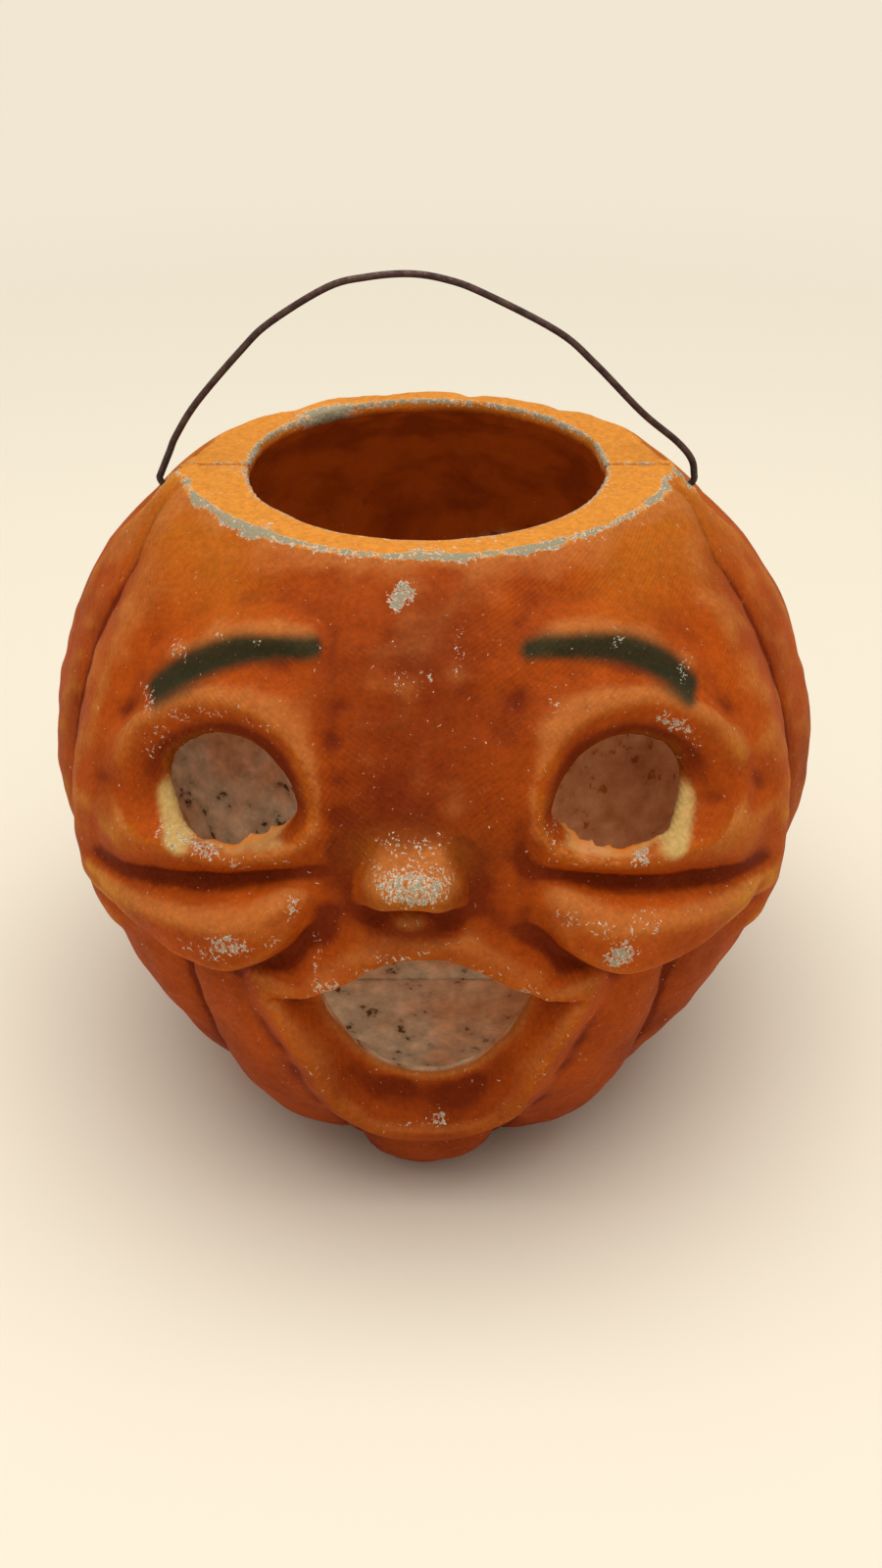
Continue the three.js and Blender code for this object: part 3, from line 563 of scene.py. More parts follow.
@dataclass
class LanternSkin:
    """The round lobed body that carries the face, as a distance from the middle of the waist."""

    half_width: float = 90
    height: float = 150
    waist: float = 78
    foot_front: float = 54
    foot_side: float = 44
    upper_fullness: float = 2
    lower_front_fullness: float = 2.4
    lower_side_fullness: float = 1.65
    front_to_side: Span = (22, 60)
    lean: float = 1.2
    lean_fade: Span = (15, 45)
    rim_side: float = 55.5
    rim_front: float = 48
    rim_back: float = 45.5
    valleys: tuple = (13, 37, 71, 105, 137, 167)
    lobe_depth: float = 5.5
    lobe_roundness: float = 2.4
    valley_sharpness: float = 0.985
    rim_fade: Span = (12, 48)
    rim_fading: float = 0.72
    foot_fade: Span = (35, 60)
    foot_fading: float = 0.3
    ridge_turn: Span = (40, 58)
    ridge_turn_angle: float = 24
    panel_start: Span = (-9, -3)
    mouth_start: Span = (-38, -30)
    chin_reach: float = 5.5
    chin_half_angle: float = 15
    chin_start: Span = (30, 44)
    notch_depth: float = 3
    notch_radius: float = 12
    notch_softness: float = 1.5
    hinge_behind_seam: float = 5
    hinge_height: float = 142.5
    lump_height: float = 0.3
    rim_tilts: Span = (48, 62)
    face: FrontMap = field(default_factory=lambda: FaceRelief().drawn())

    def rim(self, azimuth: np.ndarray) -> np.ndarray:
        """Returns the outer radius of the flat ring, which is pointed at the two seam corners."""
        from_seam = np.abs(90 - np.abs(azimuth)) / 90
        middle = np.where(np.abs(azimuth) < 90, self.rim_front, self.rim_back)
        return middle + (self.rim_side - middle) * (1 - from_seam) ** 2

    def plain(self, azimuth: np.ndarray, elevation: np.ndarray) -> np.ndarray:
        """Returns the radius of the body without lobes or face."""
        across = np.cos(np.radians(elevation))
        up = np.sin(np.radians(elevation))
        at_side = rising(np.abs(azimuth), self.front_to_side)
        less_full = self.lower_side_fullness - self.lower_front_fullness
        lower = self.lower_front_fullness + less_full * at_side
        power = np.where(up < 0, lower, self.upper_fullness)
        foot = self.foot_front + (self.foot_side - self.foot_front) * at_side
        end = np.where(up < 0, foot, self.rim(azimuth))
        end_distance = np.where(up < 0, self.waist, self.height - self.waist)
        pole = end_distance / (1 - (end / self.half_width) ** power) ** (1 / power)
        stretched = (across / self.half_width) ** power + (np.abs(up) / pole) ** power
        return stretched ** (-1 / power)

    def lobe_azimuth(self, azimuth: np.ndarray, elevation: np.ndarray) -> np.ndarray:
        """Returns the azimuth counted from the front, with the side ridges bent back at the rim."""
        turn = np.abs(azimuth)
        ridge = self.valleys[2]
        share = np.where(turn < ridge, rising(turn, (0, ridge)), falling(turn, (ridge, 90)))
        return turn - self.ridge_turn_angle * rising(elevation, self.ridge_turn) * share

    def lobe_hollow(self, azimuth: np.ndarray, elevation: np.ndarray) -> np.ndarray:
        """Returns how far the valleys between the lobes are sunk."""
        turn = self.lobe_azimuth(azimuth, elevation)
        edges = np.array([-self.valleys[0], *self.valleys, 360 - self.valleys[-1]], float)
        lobe = np.clip(np.searchsorted(edges, turn) - 1, 0, len(edges) - 2)
        half_lobe = (edges[lobe + 1] - edges[lobe]) / 2
        from_crest = np.clip(np.abs(turn - edges[lobe] - half_lobe) / half_lobe, 0, 1)
        hollow = 1 - np.sqrt(1 - self.valley_sharpness * from_crest**self.lobe_roundness)
        fade = 1 - self.rim_fading * rising(elevation, self.rim_fade)
        fade = fade * (1 - self.foot_fading * rising(-elevation, self.foot_fade))
        first, second, third = self.valleys[:3]
        on_panel = rising(elevation, self.panel_start) * (turn < (second + third) / 2)
        on_mouth = rising(elevation, self.mouth_start) * (turn < (first + second) / 2)
        return self.lobe_depth * hollow * fade * (1 - np.maximum(on_panel, on_mouth))

    def chin(self, azimuth: np.ndarray, elevation: np.ndarray) -> np.ndarray:
        """Returns how far the front lobe stands forward under the mouth."""
        from_middle = np.minimum(1, np.abs(azimuth) / self.chin_half_angle)
        swell = np.sqrt(1 - from_middle**self.lobe_roundness)
        return self.chin_reach * swell * rising(-elevation, self.chin_start)

    def radius(self, azimuth: np.ndarray, elevation: np.ndarray) -> np.ndarray:
        """Returns the distance of the finished skin from the middle of the waist."""
        plain = self.plain(azimuth, elevation)
        along = np.stack(self.directions(azimuth, elevation), axis=-1) * plain[..., None]
        relief = np.where(np.abs(azimuth) < 90, self.face.at(along[..., 0], along[..., 2]), 0)
        lean = self.lean * np.sin(np.radians(azimuth)) * falling(elevation, self.lean_fade)
        above_hinge = along[..., 2] + self.waist - self.hinge_height
        away = np.hypot(along[..., 1] - self.hinge_behind_seam, above_hinge) / self.notch_radius
        notch = self.notch_depth * np.maximum(0, 1 - away**2) ** self.notch_softness
        raised = relief + lean + self.chin(azimuth, elevation) - self.lobe_hollow(azimuth, elevation)
        return plain + raised - notch

    def rim_edge(self, azimuth: np.ndarray) -> np.ndarray:
        """Returns how far from the axis the skin meets the plane of the ring."""
        turns = np.arange(-180, 181, 2.0)
        tilts = np.arange(*self.rim_tilts, 0.25)
        reach = self.radius(*np.meshgrid(turns, tilts))
        height = reach * np.sin(np.radians(tilts))[:, None]
        around = reach * np.cos(np.radians(tilts))[:, None]
        top = self.height - self.waist
        found = [np.interp(top, height[:, i], around[:, i]) for i in range(len(turns))]
        return np.interp(azimuth, turns, found)

    @staticmethod
    def directions(
        azimuth: np.ndarray, elevation: np.ndarray
    ) -> tuple[np.ndarray, np.ndarray, np.ndarray]:
        """Returns x, y and z of the unit directions."""
        level = np.cos(np.radians(elevation))
        across = level * np.sin(np.radians(azimuth))
        return across, -level * np.cos(np.radians(azimuth)), np.sin(np.radians(elevation))


@dataclass
class Placing:
    """Turns body millimetres into the frame's metres and back.

    The frame's origin is under the middle of the whole object, which the leaning bail and the nose
    move a little from the body's own axis.
    """

    waist: float = 78
    shift: tuple = (-1.2000, 4.2799, 0.0)

    def to_frame(self, points: np.ndarray) -> np.ndarray:
        """Returns points about the waist as points of the frame."""
        return (points + np.array(self.shift) + (0, 0, self.waist)) * MM

    def to_body(self, points: np.ndarray) -> np.ndarray:
        """Returns points of the frame as points about the waist."""
        return points / MM - np.array(self.shift) - (0, 0, self.waist)


# Finishes


@dataclass(frozen=True)
class Noise:
    """A noise of the pulp: its size in millimetres, and how finely and roughly it is broken up."""

    size: float
    detail: float
    roughness: float = 0.5
    distortion: float = 0


@dataclass(frozen=True)
class PaintedPulp:
    """Moulded paper pulp, primed in cream and sprayed with orange poster paint.

    The paint is half matte, follows the weave of the mould's screen, has chipped down to the primer and
    the grey pulp along every edge, and is bare or thinly painted inside. Its colours also carry painted
    light: the deep red is painted shade in hollows, valleys, sockets and under the nose, the ochre is
    thin spray with painted highlight on ridges, crests and the nose, and the sheen is a painted
    highlight on swellings that look up. A Span is the part of a noise that counts, or the least and the
    most that the noise gives. Lengths are in millimetres. The spray's droplets and the pulp's fibres are
    finer in reality, and are drawn as coarse as they need to show.
    """

    orange: str = "#B24B08"
    # The deep red is also the painted shade in hollows, valleys, sockets and under the nose.
    deep: str = "#722503"
    # The ochre is thin spray together with painted highlight on ridges, crests and the top of the nose.
    ochre: str = "#C9801E"
    ring: str = "#D98A32"
    ledge: str = "#C49E5C"
    # A painted sheen: the pale colour laid where swellings of the face look up into the light.
    painted_sheen: str = "#BE6E32"
    brow: str = "#0A2A1A"
    primer: str = "#EADFC6"
    raw: str = "#A59B7C"
    inner_raw: str = "#E8C89C"
    inner_paint: str = "#E67A22"
    pit: str = "#5E4228"
    paint_roughness: float = 0.55
    specular: float = 0.07
    raw_roughness: float = 0.95
    noises: dict = field(default_factory=lambda: {
        "mottle": Noise(16, 5), "brush": Noise(4, 4, 0.6), "droplets": Noise(1.3, 3, 0.7),
        "tufts": Noise(5.5, 4, 0.6), "flakes": Noise(0.9, 6, 0.65, 0.6), "patches": Noise(22, 2),
        "dimples": Noise(3.2, 4, 0.6), "fibres": Noise(0.9, 3),
    })
    mottle: Span = (0.35, 0.7)
    mottle_dark: float = 0.45
    brush_share: float = 0.8
    least_share: float = 0.6
    brush_gloss: float = 0.25
    droplets: Span = (0.3, 0.7)
    droplet_shades: Span = (0.8, 1.15)
    stray_paint: Span = (0.44, 0.64)
    stray_paint_most: float = 0.45
    tufts: Span = (0.3, 0.7)
    tuft_shades: Span = (0.55, 1.2)
    pits: Span = (0.39, 0.34)
    flakes: Span = (0.22, 0.78)
    wear_weight: float = 0.22
    bare_weight: float = 0.75
    primer_shows: Span = (0.82, 0.87)
    pulp_shows: Span = (0.9, 0.97)
    raw_evenness: float = 0.65
    screen_pitch: float = 1.1
    screen_depth: float = 0.045
    screen_patches: Span = (0.38, 0.62)
    dimple_height: float = 0.6
    fuzz: Span = (0.08, 0.5)
    relief_height: float = 0.6

    def make(self) -> bpy.types.Material:
        """Builds the material.

        Returns:
            The material, which reads the marks kept on the shell's vertices.
        """
        material = bpy.data.materials.new("sprayed_poster_paint_on_moulded_pulp")
        material.use_nodes = True
        tree = material.node_tree
        shader = tree.nodes["Principled BSDF"]
        shader.inputs["Specular IOR Level"].default_value = self.specular
        place = add_node(tree, "ShaderNodeTexCoord").outputs["Object"]
        marks = {
            name: add_node(tree, "ShaderNodeAttribute", attribute_name=name).outputs["Fac"]
            for name in MARK_NAMES
        }
        noises = {}
        for name, noise in self.noises.items():
            noises[name] = add_node(
                tree, "ShaderNodeTexNoise",
                {
                    "Vector": place, "Scale": 1 / (noise.size * MM), "Detail": noise.detail,
                    "Roughness": noise.roughness, "Distortion": noise.distortion,
                },
            ).outputs["Fac"]
        colour = self.paint(tree, marks, noises)
        colour = self.inside(tree, marks, noises, colour)
        colour, raw = self.chips(tree, marks, noises, colour)
        tree.links.new(colour, shader.inputs["Base Color"])
        rough = add_node(
            tree, "ShaderNodeMapRange",
            {"Value": raw, "To Min": self.paint_roughness, "To Max": self.raw_roughness},
        ).outputs["Result"]
        uneven_gloss = add_node(
            tree, "ShaderNodeMath", {0: noises["brush"], 1: self.brush_gloss, 2: rough},
            operation="MULTIPLY_ADD", use_clamp=True,
        ).outputs["Value"]
        tree.links.new(uneven_gloss, shader.inputs["Roughness"])
        tree.links.new(self.surface(tree, noises, raw), shader.inputs["Normal"])
        return material

    def paint(self, tree: bpy.types.NodeTree, marks: dict, noises: dict) -> bpy.types.NodeSocket:
        """Layers the sprayed colours with the painted shade, the painted highlights and the painted
        sheen.

        Args:
            tree: The material's tree.
            marks: The vertex marks by name.
            noises: The noises by name.

        Returns:
            The socket of the painted colour.
        """
        cloudy = add_node(
            tree, "ShaderNodeMapRange",
            {"Value": noises["mottle"], **from_span(self.mottle), "To Max": self.mottle_dark},
        ).outputs["Result"]
        # Painted shade from the dark mark, with random clouds of deeper spray, turns the orange to deep
        # red.
        darker = add_node(
            tree, "ShaderNodeMath", {0: marks["dark"], 1: cloudy}, operation="ADD", use_clamp=True
        ).outputs["Value"]
        colour = add_node(
            tree, "ShaderNodeMix", {0: darker, 6: linear(self.orange), 7: linear(self.deep)},
            data_type="RGBA",
        ).outputs[2]
        share = add_node(
            tree, "ShaderNodeMath", {0: noises["brush"], 1: self.brush_share, 2: self.least_share},
            operation="MULTIPLY_ADD",
        ).outputs["Value"]
        # Ochre with painted highlight and the painted sheen go on here, with the ring's and the ledge's
        # own paint.
        layers = {"light": self.ochre, "painted_sheen": self.painted_sheen, "ring": self.ring, "ledge": self.ledge}
        for name, shade in layers.items():
            amount = add_node(
                tree, "ShaderNodeMath", {0: marks[name], 1: share},
                operation="MULTIPLY", use_clamp=True,
            ).outputs["Value"]
            colour = add_node(
                tree, "ShaderNodeMix", {0: amount, 6: colour, 7: linear(shade)}, data_type="RGBA"
            ).outputs[2]
        colour = add_node(
            tree, "ShaderNodeMix", {0: marks["brow"], 6: colour, 7: linear(self.brow)},
            data_type="RGBA",
        ).outputs[2]
        speckle = add_node(
            tree, "ShaderNodeMapRange",
            {"Value": noises["droplets"], **from_span(self.droplets), **to_span(self.droplet_shades)},
        ).outputs["Result"]
        return add_node(
            tree, "ShaderNodeVectorMath", {0: colour, 1: speckle}, operation="MULTIPLY"
        ).outputs["Vector"]

    def inside(
        self, tree: bpy.types.NodeTree, marks: dict, noises: dict, colour: bpy.types.NodeSocket
    ) -> bpy.types.NodeSocket:
        """Adds the inside: bare pulp below, with pits and stray paint, and brushed paint above.

        Args:
            tree: The material's tree.
            marks: The vertex marks by name.
            noises: The noises by name.
            colour: The socket of the outside's colour.

        Returns:
            The socket of the colour inside and outside.
        """
        blotch = add_node(
            tree, "ShaderNodeMapRange",
            {
                "Value": noises["mottle"], **from_span(self.stray_paint),
                "To Max": self.stray_paint_most,
            },
        ).outputs["Result"]
        bare = add_node(
            tree, "ShaderNodeMix",
            {0: blotch, 6: linear(self.inner_raw), 7: linear(self.inner_paint)}, data_type="RGBA",
        ).outputs[2]
        tufts = add_node(
            tree, "ShaderNodeMapRange",
            {"Value": noises["tufts"], **from_span(self.tufts), **to_span(self.tuft_shades)},
        ).outputs["Result"]
        bare = add_node(
            tree, "ShaderNodeVectorMath", {0: bare, 1: tufts}, operation="MULTIPLY"
        ).outputs["Vector"]
        pitted = add_node(
            tree, "ShaderNodeMapRange", {"Value": noises["tufts"], **from_span(self.pits)}
        ).outputs["Result"]
        bare = add_node(
            tree, "ShaderNodeMix", {0: pitted, 6: bare, 7: linear(self.pit)}, data_type="RGBA"
        ).outputs[2]
        streaky = add_node(
            tree, "ShaderNodeMix",
            {0: blotch, 6: linear(self.inner_paint), 7: linear(self.deep)}, data_type="RGBA",
        ).outputs[2]
        within = add_node(
            tree, "ShaderNodeMix", {0: marks["raw_inside"], 6: streaky, 7: bare}, data_type="RGBA"
        ).outputs[2]
        return add_node(
            tree, "ShaderNodeMix", {0: marks["inner"], 6: colour, 7: within}, data_type="RGBA"
        ).outputs[2]

    def chips(
        self, tree: bpy.types.NodeTree, marks: dict, noises: dict, colour: bpy.types.NodeSocket
    ) -> tuple[bpy.types.NodeSocket, bpy.types.NodeSocket]:
        """Chips the paint down to the primer, and further down to the grey pulp.

        Args:
            tree: The material's tree.
            marks: The vertex marks by name.
            noises: The noises by name.
            colour: The socket of the unchipped colour.

        Returns:
            The sockets of the colour and of the share of bare pulp.
        """
        flakes = noises["flakes"]
        jagged = add_node(
            tree, "ShaderNodeMapRange", {"Value": flakes, **from_span(self.flakes)}, clamp=False
        ).outputs["Result"]
        worn = add_node(
            tree, "ShaderNodeMath", {0: marks["wear"], 1: self.wear_weight, 2: jagged},
            operation="MULTIPLY_ADD",
        ).outputs["Value"]
        gone = add_node(
            tree, "ShaderNodeMath", {0: marks["bare"], 1: self.bare_weight, 2: worn},
            operation="MULTIPLY_ADD",
        ).outputs["Value"]
        primed = add_node(
            tree, "ShaderNodeMapRange", {"Value": gone, **from_span(self.primer_shows)}
        ).outputs["Result"]
        raw = add_node(
            tree, "ShaderNodeMapRange", {"Value": gone, **from_span(self.pulp_shows)}
        ).outputs["Result"]
        fibre = add_node(
            tree, "ShaderNodeMix",
            {0: flakes, 6: linear(self.pit), 7: linear(self.raw)}, data_type="RGBA",
        ).outputs[2]
        pulp = add_node(
            tree, "ShaderNodeMix", {0: self.raw_evenness, 6: fibre, 7: linear(self.raw)},
            data_type="RGBA",
        ).outputs[2]
        colour = add_node(
            tree, "ShaderNodeMix", {0: primed, 6: colour, 7: linear(self.primer)}, data_type="RGBA"
        ).outputs[2]
        colour = add_node(
            tree, "ShaderNodeMix", {0: raw, 6: colour, 7: pulp}, data_type="RGBA"
        ).outputs[2]
        unpainted = add_node(
            tree, "ShaderNodeMath", {0: marks["inner"], 1: marks["raw_inside"]}, operation="MULTIPLY"
        ).outputs["Value"]
        rough = add_node(
            tree, "ShaderNodeMath", {0: raw, 1: unpainted}, operation="MAXIMUM"
        ).outputs["Value"]
        return colour, rough

    def surface(
        self, tree: bpy.types.NodeTree, noises: dict, raw: bpy.types.NodeSocket
    ) -> bpy.types.NodeSocket:
        """Adds the weave of the mould's screen, the pulp's dimples and the rough bare places.

        Args:
            tree: The material's tree.
            noises: The noises by name.
            raw: The socket of the share of bare pulp.

        Returns:
            The socket of the bumpy normal.
        """
        screen = add_node(tree, "ShaderNodeAttribute", attribute_name="screen").outputs["Vector"]
        threads = add_node(tree, "ShaderNodeSeparateXYZ", {0: screen})
        waves = []
        for axis in ("X", "Y"):
            turn = add_node(
                tree, "ShaderNodeMath", {0: threads.outputs[axis], 1: 2 * math.pi / self.screen_pitch},
                operation="MULTIPLY",
            ).outputs["Value"]
            waves.append(add_node(tree, "ShaderNodeMath", {0: turn}, operation="SINE").outputs["Value"])
        weave = add_node(
            tree, "ShaderNodeMath", {0: waves[0], 1: waves[1]}, operation="ADD"
        ).outputs["Value"]
        shown = add_node(
            tree, "ShaderNodeMapRange",
            {
                "Value": noises["patches"], **from_span(self.screen_patches),
                "To Max": self.screen_depth,
            },
        ).outputs["Result"]
        imprint = add_node(
            tree, "ShaderNodeMath", {0: weave, 1: shown}, operation="MULTIPLY"
        ).outputs["Value"]
        rough = add_node(
            tree, "ShaderNodeMapRange", {"Value": raw, **to_span(self.fuzz)}
        ).outputs["Result"]
        fuzzy = add_node(
            tree, "ShaderNodeMath", {0: noises["fibres"], 1: rough}, operation="MULTIPLY"
        ).outputs["Value"]
        height = add_node(
            tree, "ShaderNodeMath", {0: noises["dimples"], 1: self.dimple_height, 2: imprint},
            operation="MULTIPLY_ADD",
        ).outputs["Value"]
        height = add_node(
            tree, "ShaderNodeMath", {0: height, 1: fuzzy}, operation="ADD"
        ).outputs["Value"]
        return add_node(
            tree, "ShaderNodeBump",
            {"Height": height, "Strength": 1.0, "Distance": self.relief_height * MM},
        ).outputs["Normal"]


@dataclass(frozen=True)
class OxidisedWire:
    """Plain drawn steel wire with a brown oxide skin: dark, with a dull shine on its bends."""

    steel: str = "#5A4640"
    oxide: str = "#3A2320"
    roughness: float = 0.45
    oxide_roughness: float = 0.75
    stain_size: float = 3
    stains: Span = (0.4, 0.6)
    metallic: Span = (0.9, 0.4)
    relief_strength: float = 0.4
    relief_height: float = 0.1

    def make(self) -> bpy.types.Material:
        """Builds the material."""
        material = bpy.data.materials.new("oxidised_drawn_steel_wire")
        material.use_nodes = True
        tree = material.node_tree
        shader = tree.nodes["Principled BSDF"]
        place = add_node(tree, "ShaderNodeTexCoord").outputs["Object"]
        stain = add_node(
            tree, "ShaderNodeTexNoise",
            {"Vector": place, "Scale": 1 / (self.stain_size * MM), "Detail": 5.0, "Roughness": 0.7},
        ).outputs["Fac"]
        patches = add_node(
            tree, "ShaderNodeMapRange", {"Value": stain, **from_span(self.stains)}
        ).outputs["Result"]
        colour = add_node(
            tree, "ShaderNodeMix", {0: patches, 6: linear(self.steel), 7: linear(self.oxide)},
            data_type="RGBA",
        ).outputs[2]
        gloss = add_node(
            tree, "ShaderNodeMapRange",
            {"Value": patches, "To Min": self.roughness, "To Max": self.oxide_roughness},
        ).outputs["Result"]
        metal = add_node(
            tree, "ShaderNodeMapRange", {"Value": patches, **to_span(self.metallic)}
        ).outputs["Result"]
        bump = add_node(
            tree, "ShaderNodeBump",
            {"Height": stain, "Strength": self.relief_strength, "Distance": self.relief_height * MM},
        ).outputs["Normal"]
        finish = {"Base Color": colour, "Roughness": gloss, "Metallic": metal, "Normal": bump}
        for name, socket in finish.items():
            tree.links.new(socket, shader.inputs[name])
        return material


@dataclass(frozen=True)
class GummedPaper:
    """Brown gummed paper strip, brushed over with thin paint: matte, fibrous and a little cockled."""

    paper: str = "#A88A62"
    paint: str = "#8A4A1E"
    roughness: float = 0.9
    wash_size: float = 14
    washes: Span = (0.35, 0.65)
    fibre_size: float = 0.8
    relief_strength: float = 0.5
    relief_height: float = 0.2

    def make(self) -> bpy.types.Material:
        """Builds the material."""
        material = bpy.data.materials.new("gummed_kraft_paper_strip")
        material.use_nodes = True
        tree = material.node_tree
        shader = tree.nodes["Principled BSDF"]
        place = add_node(tree, "ShaderNodeTexCoord").outputs["Object"]
        wash = add_node(
            tree, "ShaderNodeTexNoise",
            {"Vector": place, "Scale": 1 / (self.wash_size * MM), "Detail": 5.0},
        ).outputs["Fac"]
        thin = add_node(
            tree, "ShaderNodeMapRange", {"Value": wash, **from_span(self.washes)}
        ).outputs["Result"]
        fibres = add_node(
            tree, "ShaderNodeTexNoise",
            {"Vector": place, "Scale": 1 / (self.fibre_size * MM), "Detail": 4.0},
        ).outputs["Fac"]
        colour = add_node(
            tree, "ShaderNodeMix", {0: thin, 6: linear(self.paper), 7: linear(self.paint)},
            data_type="RGBA",
        ).outputs[2]
        bump = add_node(
            tree, "ShaderNodeBump",
            {"Height": fibres, "Strength": self.relief_strength, "Distance": self.relief_height * MM},
        ).outputs["Normal"]
        shader.inputs["Roughness"].default_value = self.roughness
        tree.links.new(colour, shader.inputs["Base Color"])
        tree.links.new(bump, shader.inputs["Normal"])
        return material


# Pieces


@dataclass(frozen=True)
class Scuff:
    """A worn place in the front view: its middle, half its width and height, and how deep it is."""

    x: float
    z: float
    width: float
    height: float
    wear: float
    bare: float = 0


def face_scuffs() -> list[Scuff]:
    """Returns the worn places of the face, in millimetres from the middle and from the waist."""
    return [
        Scuff(-2.3, 24.6, 9.6, 3.4, 1, 0.2), Scuff(-2.5, 29, 10, 1, 0.9),
        Scuff(-39.6, 6, 6, 3, 1, 0.12), Scuff(-45, 2.5, 7, 1.8, 0.9), Scuff(-31, 7.8, 2, 2, 0.9),
        Scuff(-26.3, 14, 1.2, 3, 1, 0.1), Scuff(-52, 21.2, 5, 1.4, 0.9),
        Scuff(-45, 21.3, 5, 1.2, 1, 0.1), Scuff(-38, 20.2, 4, 1.4, 0.95), Scuff(-28, 22.4, 3, 0.8, 0.7),
        Scuff(-56.8, 34.9, 1.6, 3, 0.9), Scuff(-54.4, 39, 2, 2.2, 0.9), Scuff(-49.4, 43.4, 3, 1.6, 1),
        Scuff(-43, 46.3, 4, 1.2, 0.9), Scuff(-33, 46.2, 5, 1.5, 0.7), Scuff(-57.3, 43.3, 2.2, 2, 0.9),
        Scuff(-50, 52.9, 2.6, 1.4, 0.9), Scuff(-41, 58, 2, 1, 0.8), Scuff(-33.4, 59.2, 1, 1.4, 0.9),
        Scuff(-4, 67.4, 2.2, 1.4, 1, 0.35), Scuff(-5.8, 65.8, 1.4, 1.2, 1, 0.35),
        Scuff(6.7, 59.7, 1.2, 5, 0.75), Scuff(0.7, 55.5, 1.4, 1.4, 0.9), Scuff(-4.9, 55.4, 1, 3, 0.7),
        Scuff(-6.6, 4.6, 6, 1.4, 0.9), Scuff(-12.2, 0.8, 4, 1.2, 0.9),
        Scuff(-20.5, -4.4, 3.5, 1.4, 1, 0.2), Scuff(-22, 2.5, 0.8, 6, 0.9), Scuff(0, 5.2, 1, 4, 0.8),
        Scuff(12, 0.6, 9, 1, 0.7), Scuff(19.5, -5.2, 3.4, 1.3, 0.95, 0.1),
        Scuff(39.2, 4.6, 3.8, 3.4, 1, 0.3), Scuff(28.3, 13, 4, 1.4, 0.9), Scuff(34.7, 11.2, 4, 1.4, 1),
        Scuff(42.4, 9.8, 3, 2, 0.85), Scuff(46.4, 8, 1, 3.4, 0.95), Scuff(48.4, 43.7, 2, 1.6, 1, 0.1),
        Scuff(51, 41.7, 2, 1.6, 1, 0.2), Scuff(53.4, 39.6, 1.6, 2, 1, 0.1),
        Scuff(55.3, 36.2, 1.4, 2.4, 0.9), Scuff(43.4, 21, 2.4, 1.6, 1, 0.15),
        Scuff(38.4, 58, 1.6, 1, 1, 0.1), Scuff(53, 49.9, 2.4, 2.4, 0.8), Scuff(25.7, 51, 3.4, 1.6, 0.7),
        Scuff(2.5, -47.4, 2, 1.2, 1, 0.15), Scuff(-1, -48.6, 9, 0.8, 0.7), Scuff(25, 26, 2, 8, 0.6),
    ]


@dataclass(frozen=True)
class Patch:
    """A soft oval patch: its middle, its half width and height, and its strength in the middle."""

    middle: Point
    size: Point
    strength: float

    def at(self, across: np.ndarray, up: np.ndarray) -> np.ndarray:
        """Returns the patch's strength at each place."""
        beside = (across - self.middle[0]) / self.size[0]
        above = (up - self.middle[1]) / self.size[1]
        return self.strength * np.exp(-(beside**2) - above**2)


@dataclass
class Spots:
    """The vertices of a half: where they lie about the waist, and how the surface runs there.

    Ridge and swell tell how far a vertex stands out from its near and its wider surroundings.
    """

    points: np.ndarray
    ridge: np.ndarray
    swell: np.ndarray
    facing_up: np.ndarray

    def __post_init__(self) -> None:
        """Works out the places that all marks share."""
        self.x, self.y, self.z = self.points.T
        self.side = np.abs(self.x)
        self.around = np.hypot(self.x, self.y)
        self.azimuth = np.degrees(np.arctan2(self.x, -self.y))
        self.elevation = np.degrees(np.arctan2(self.z, self.around))


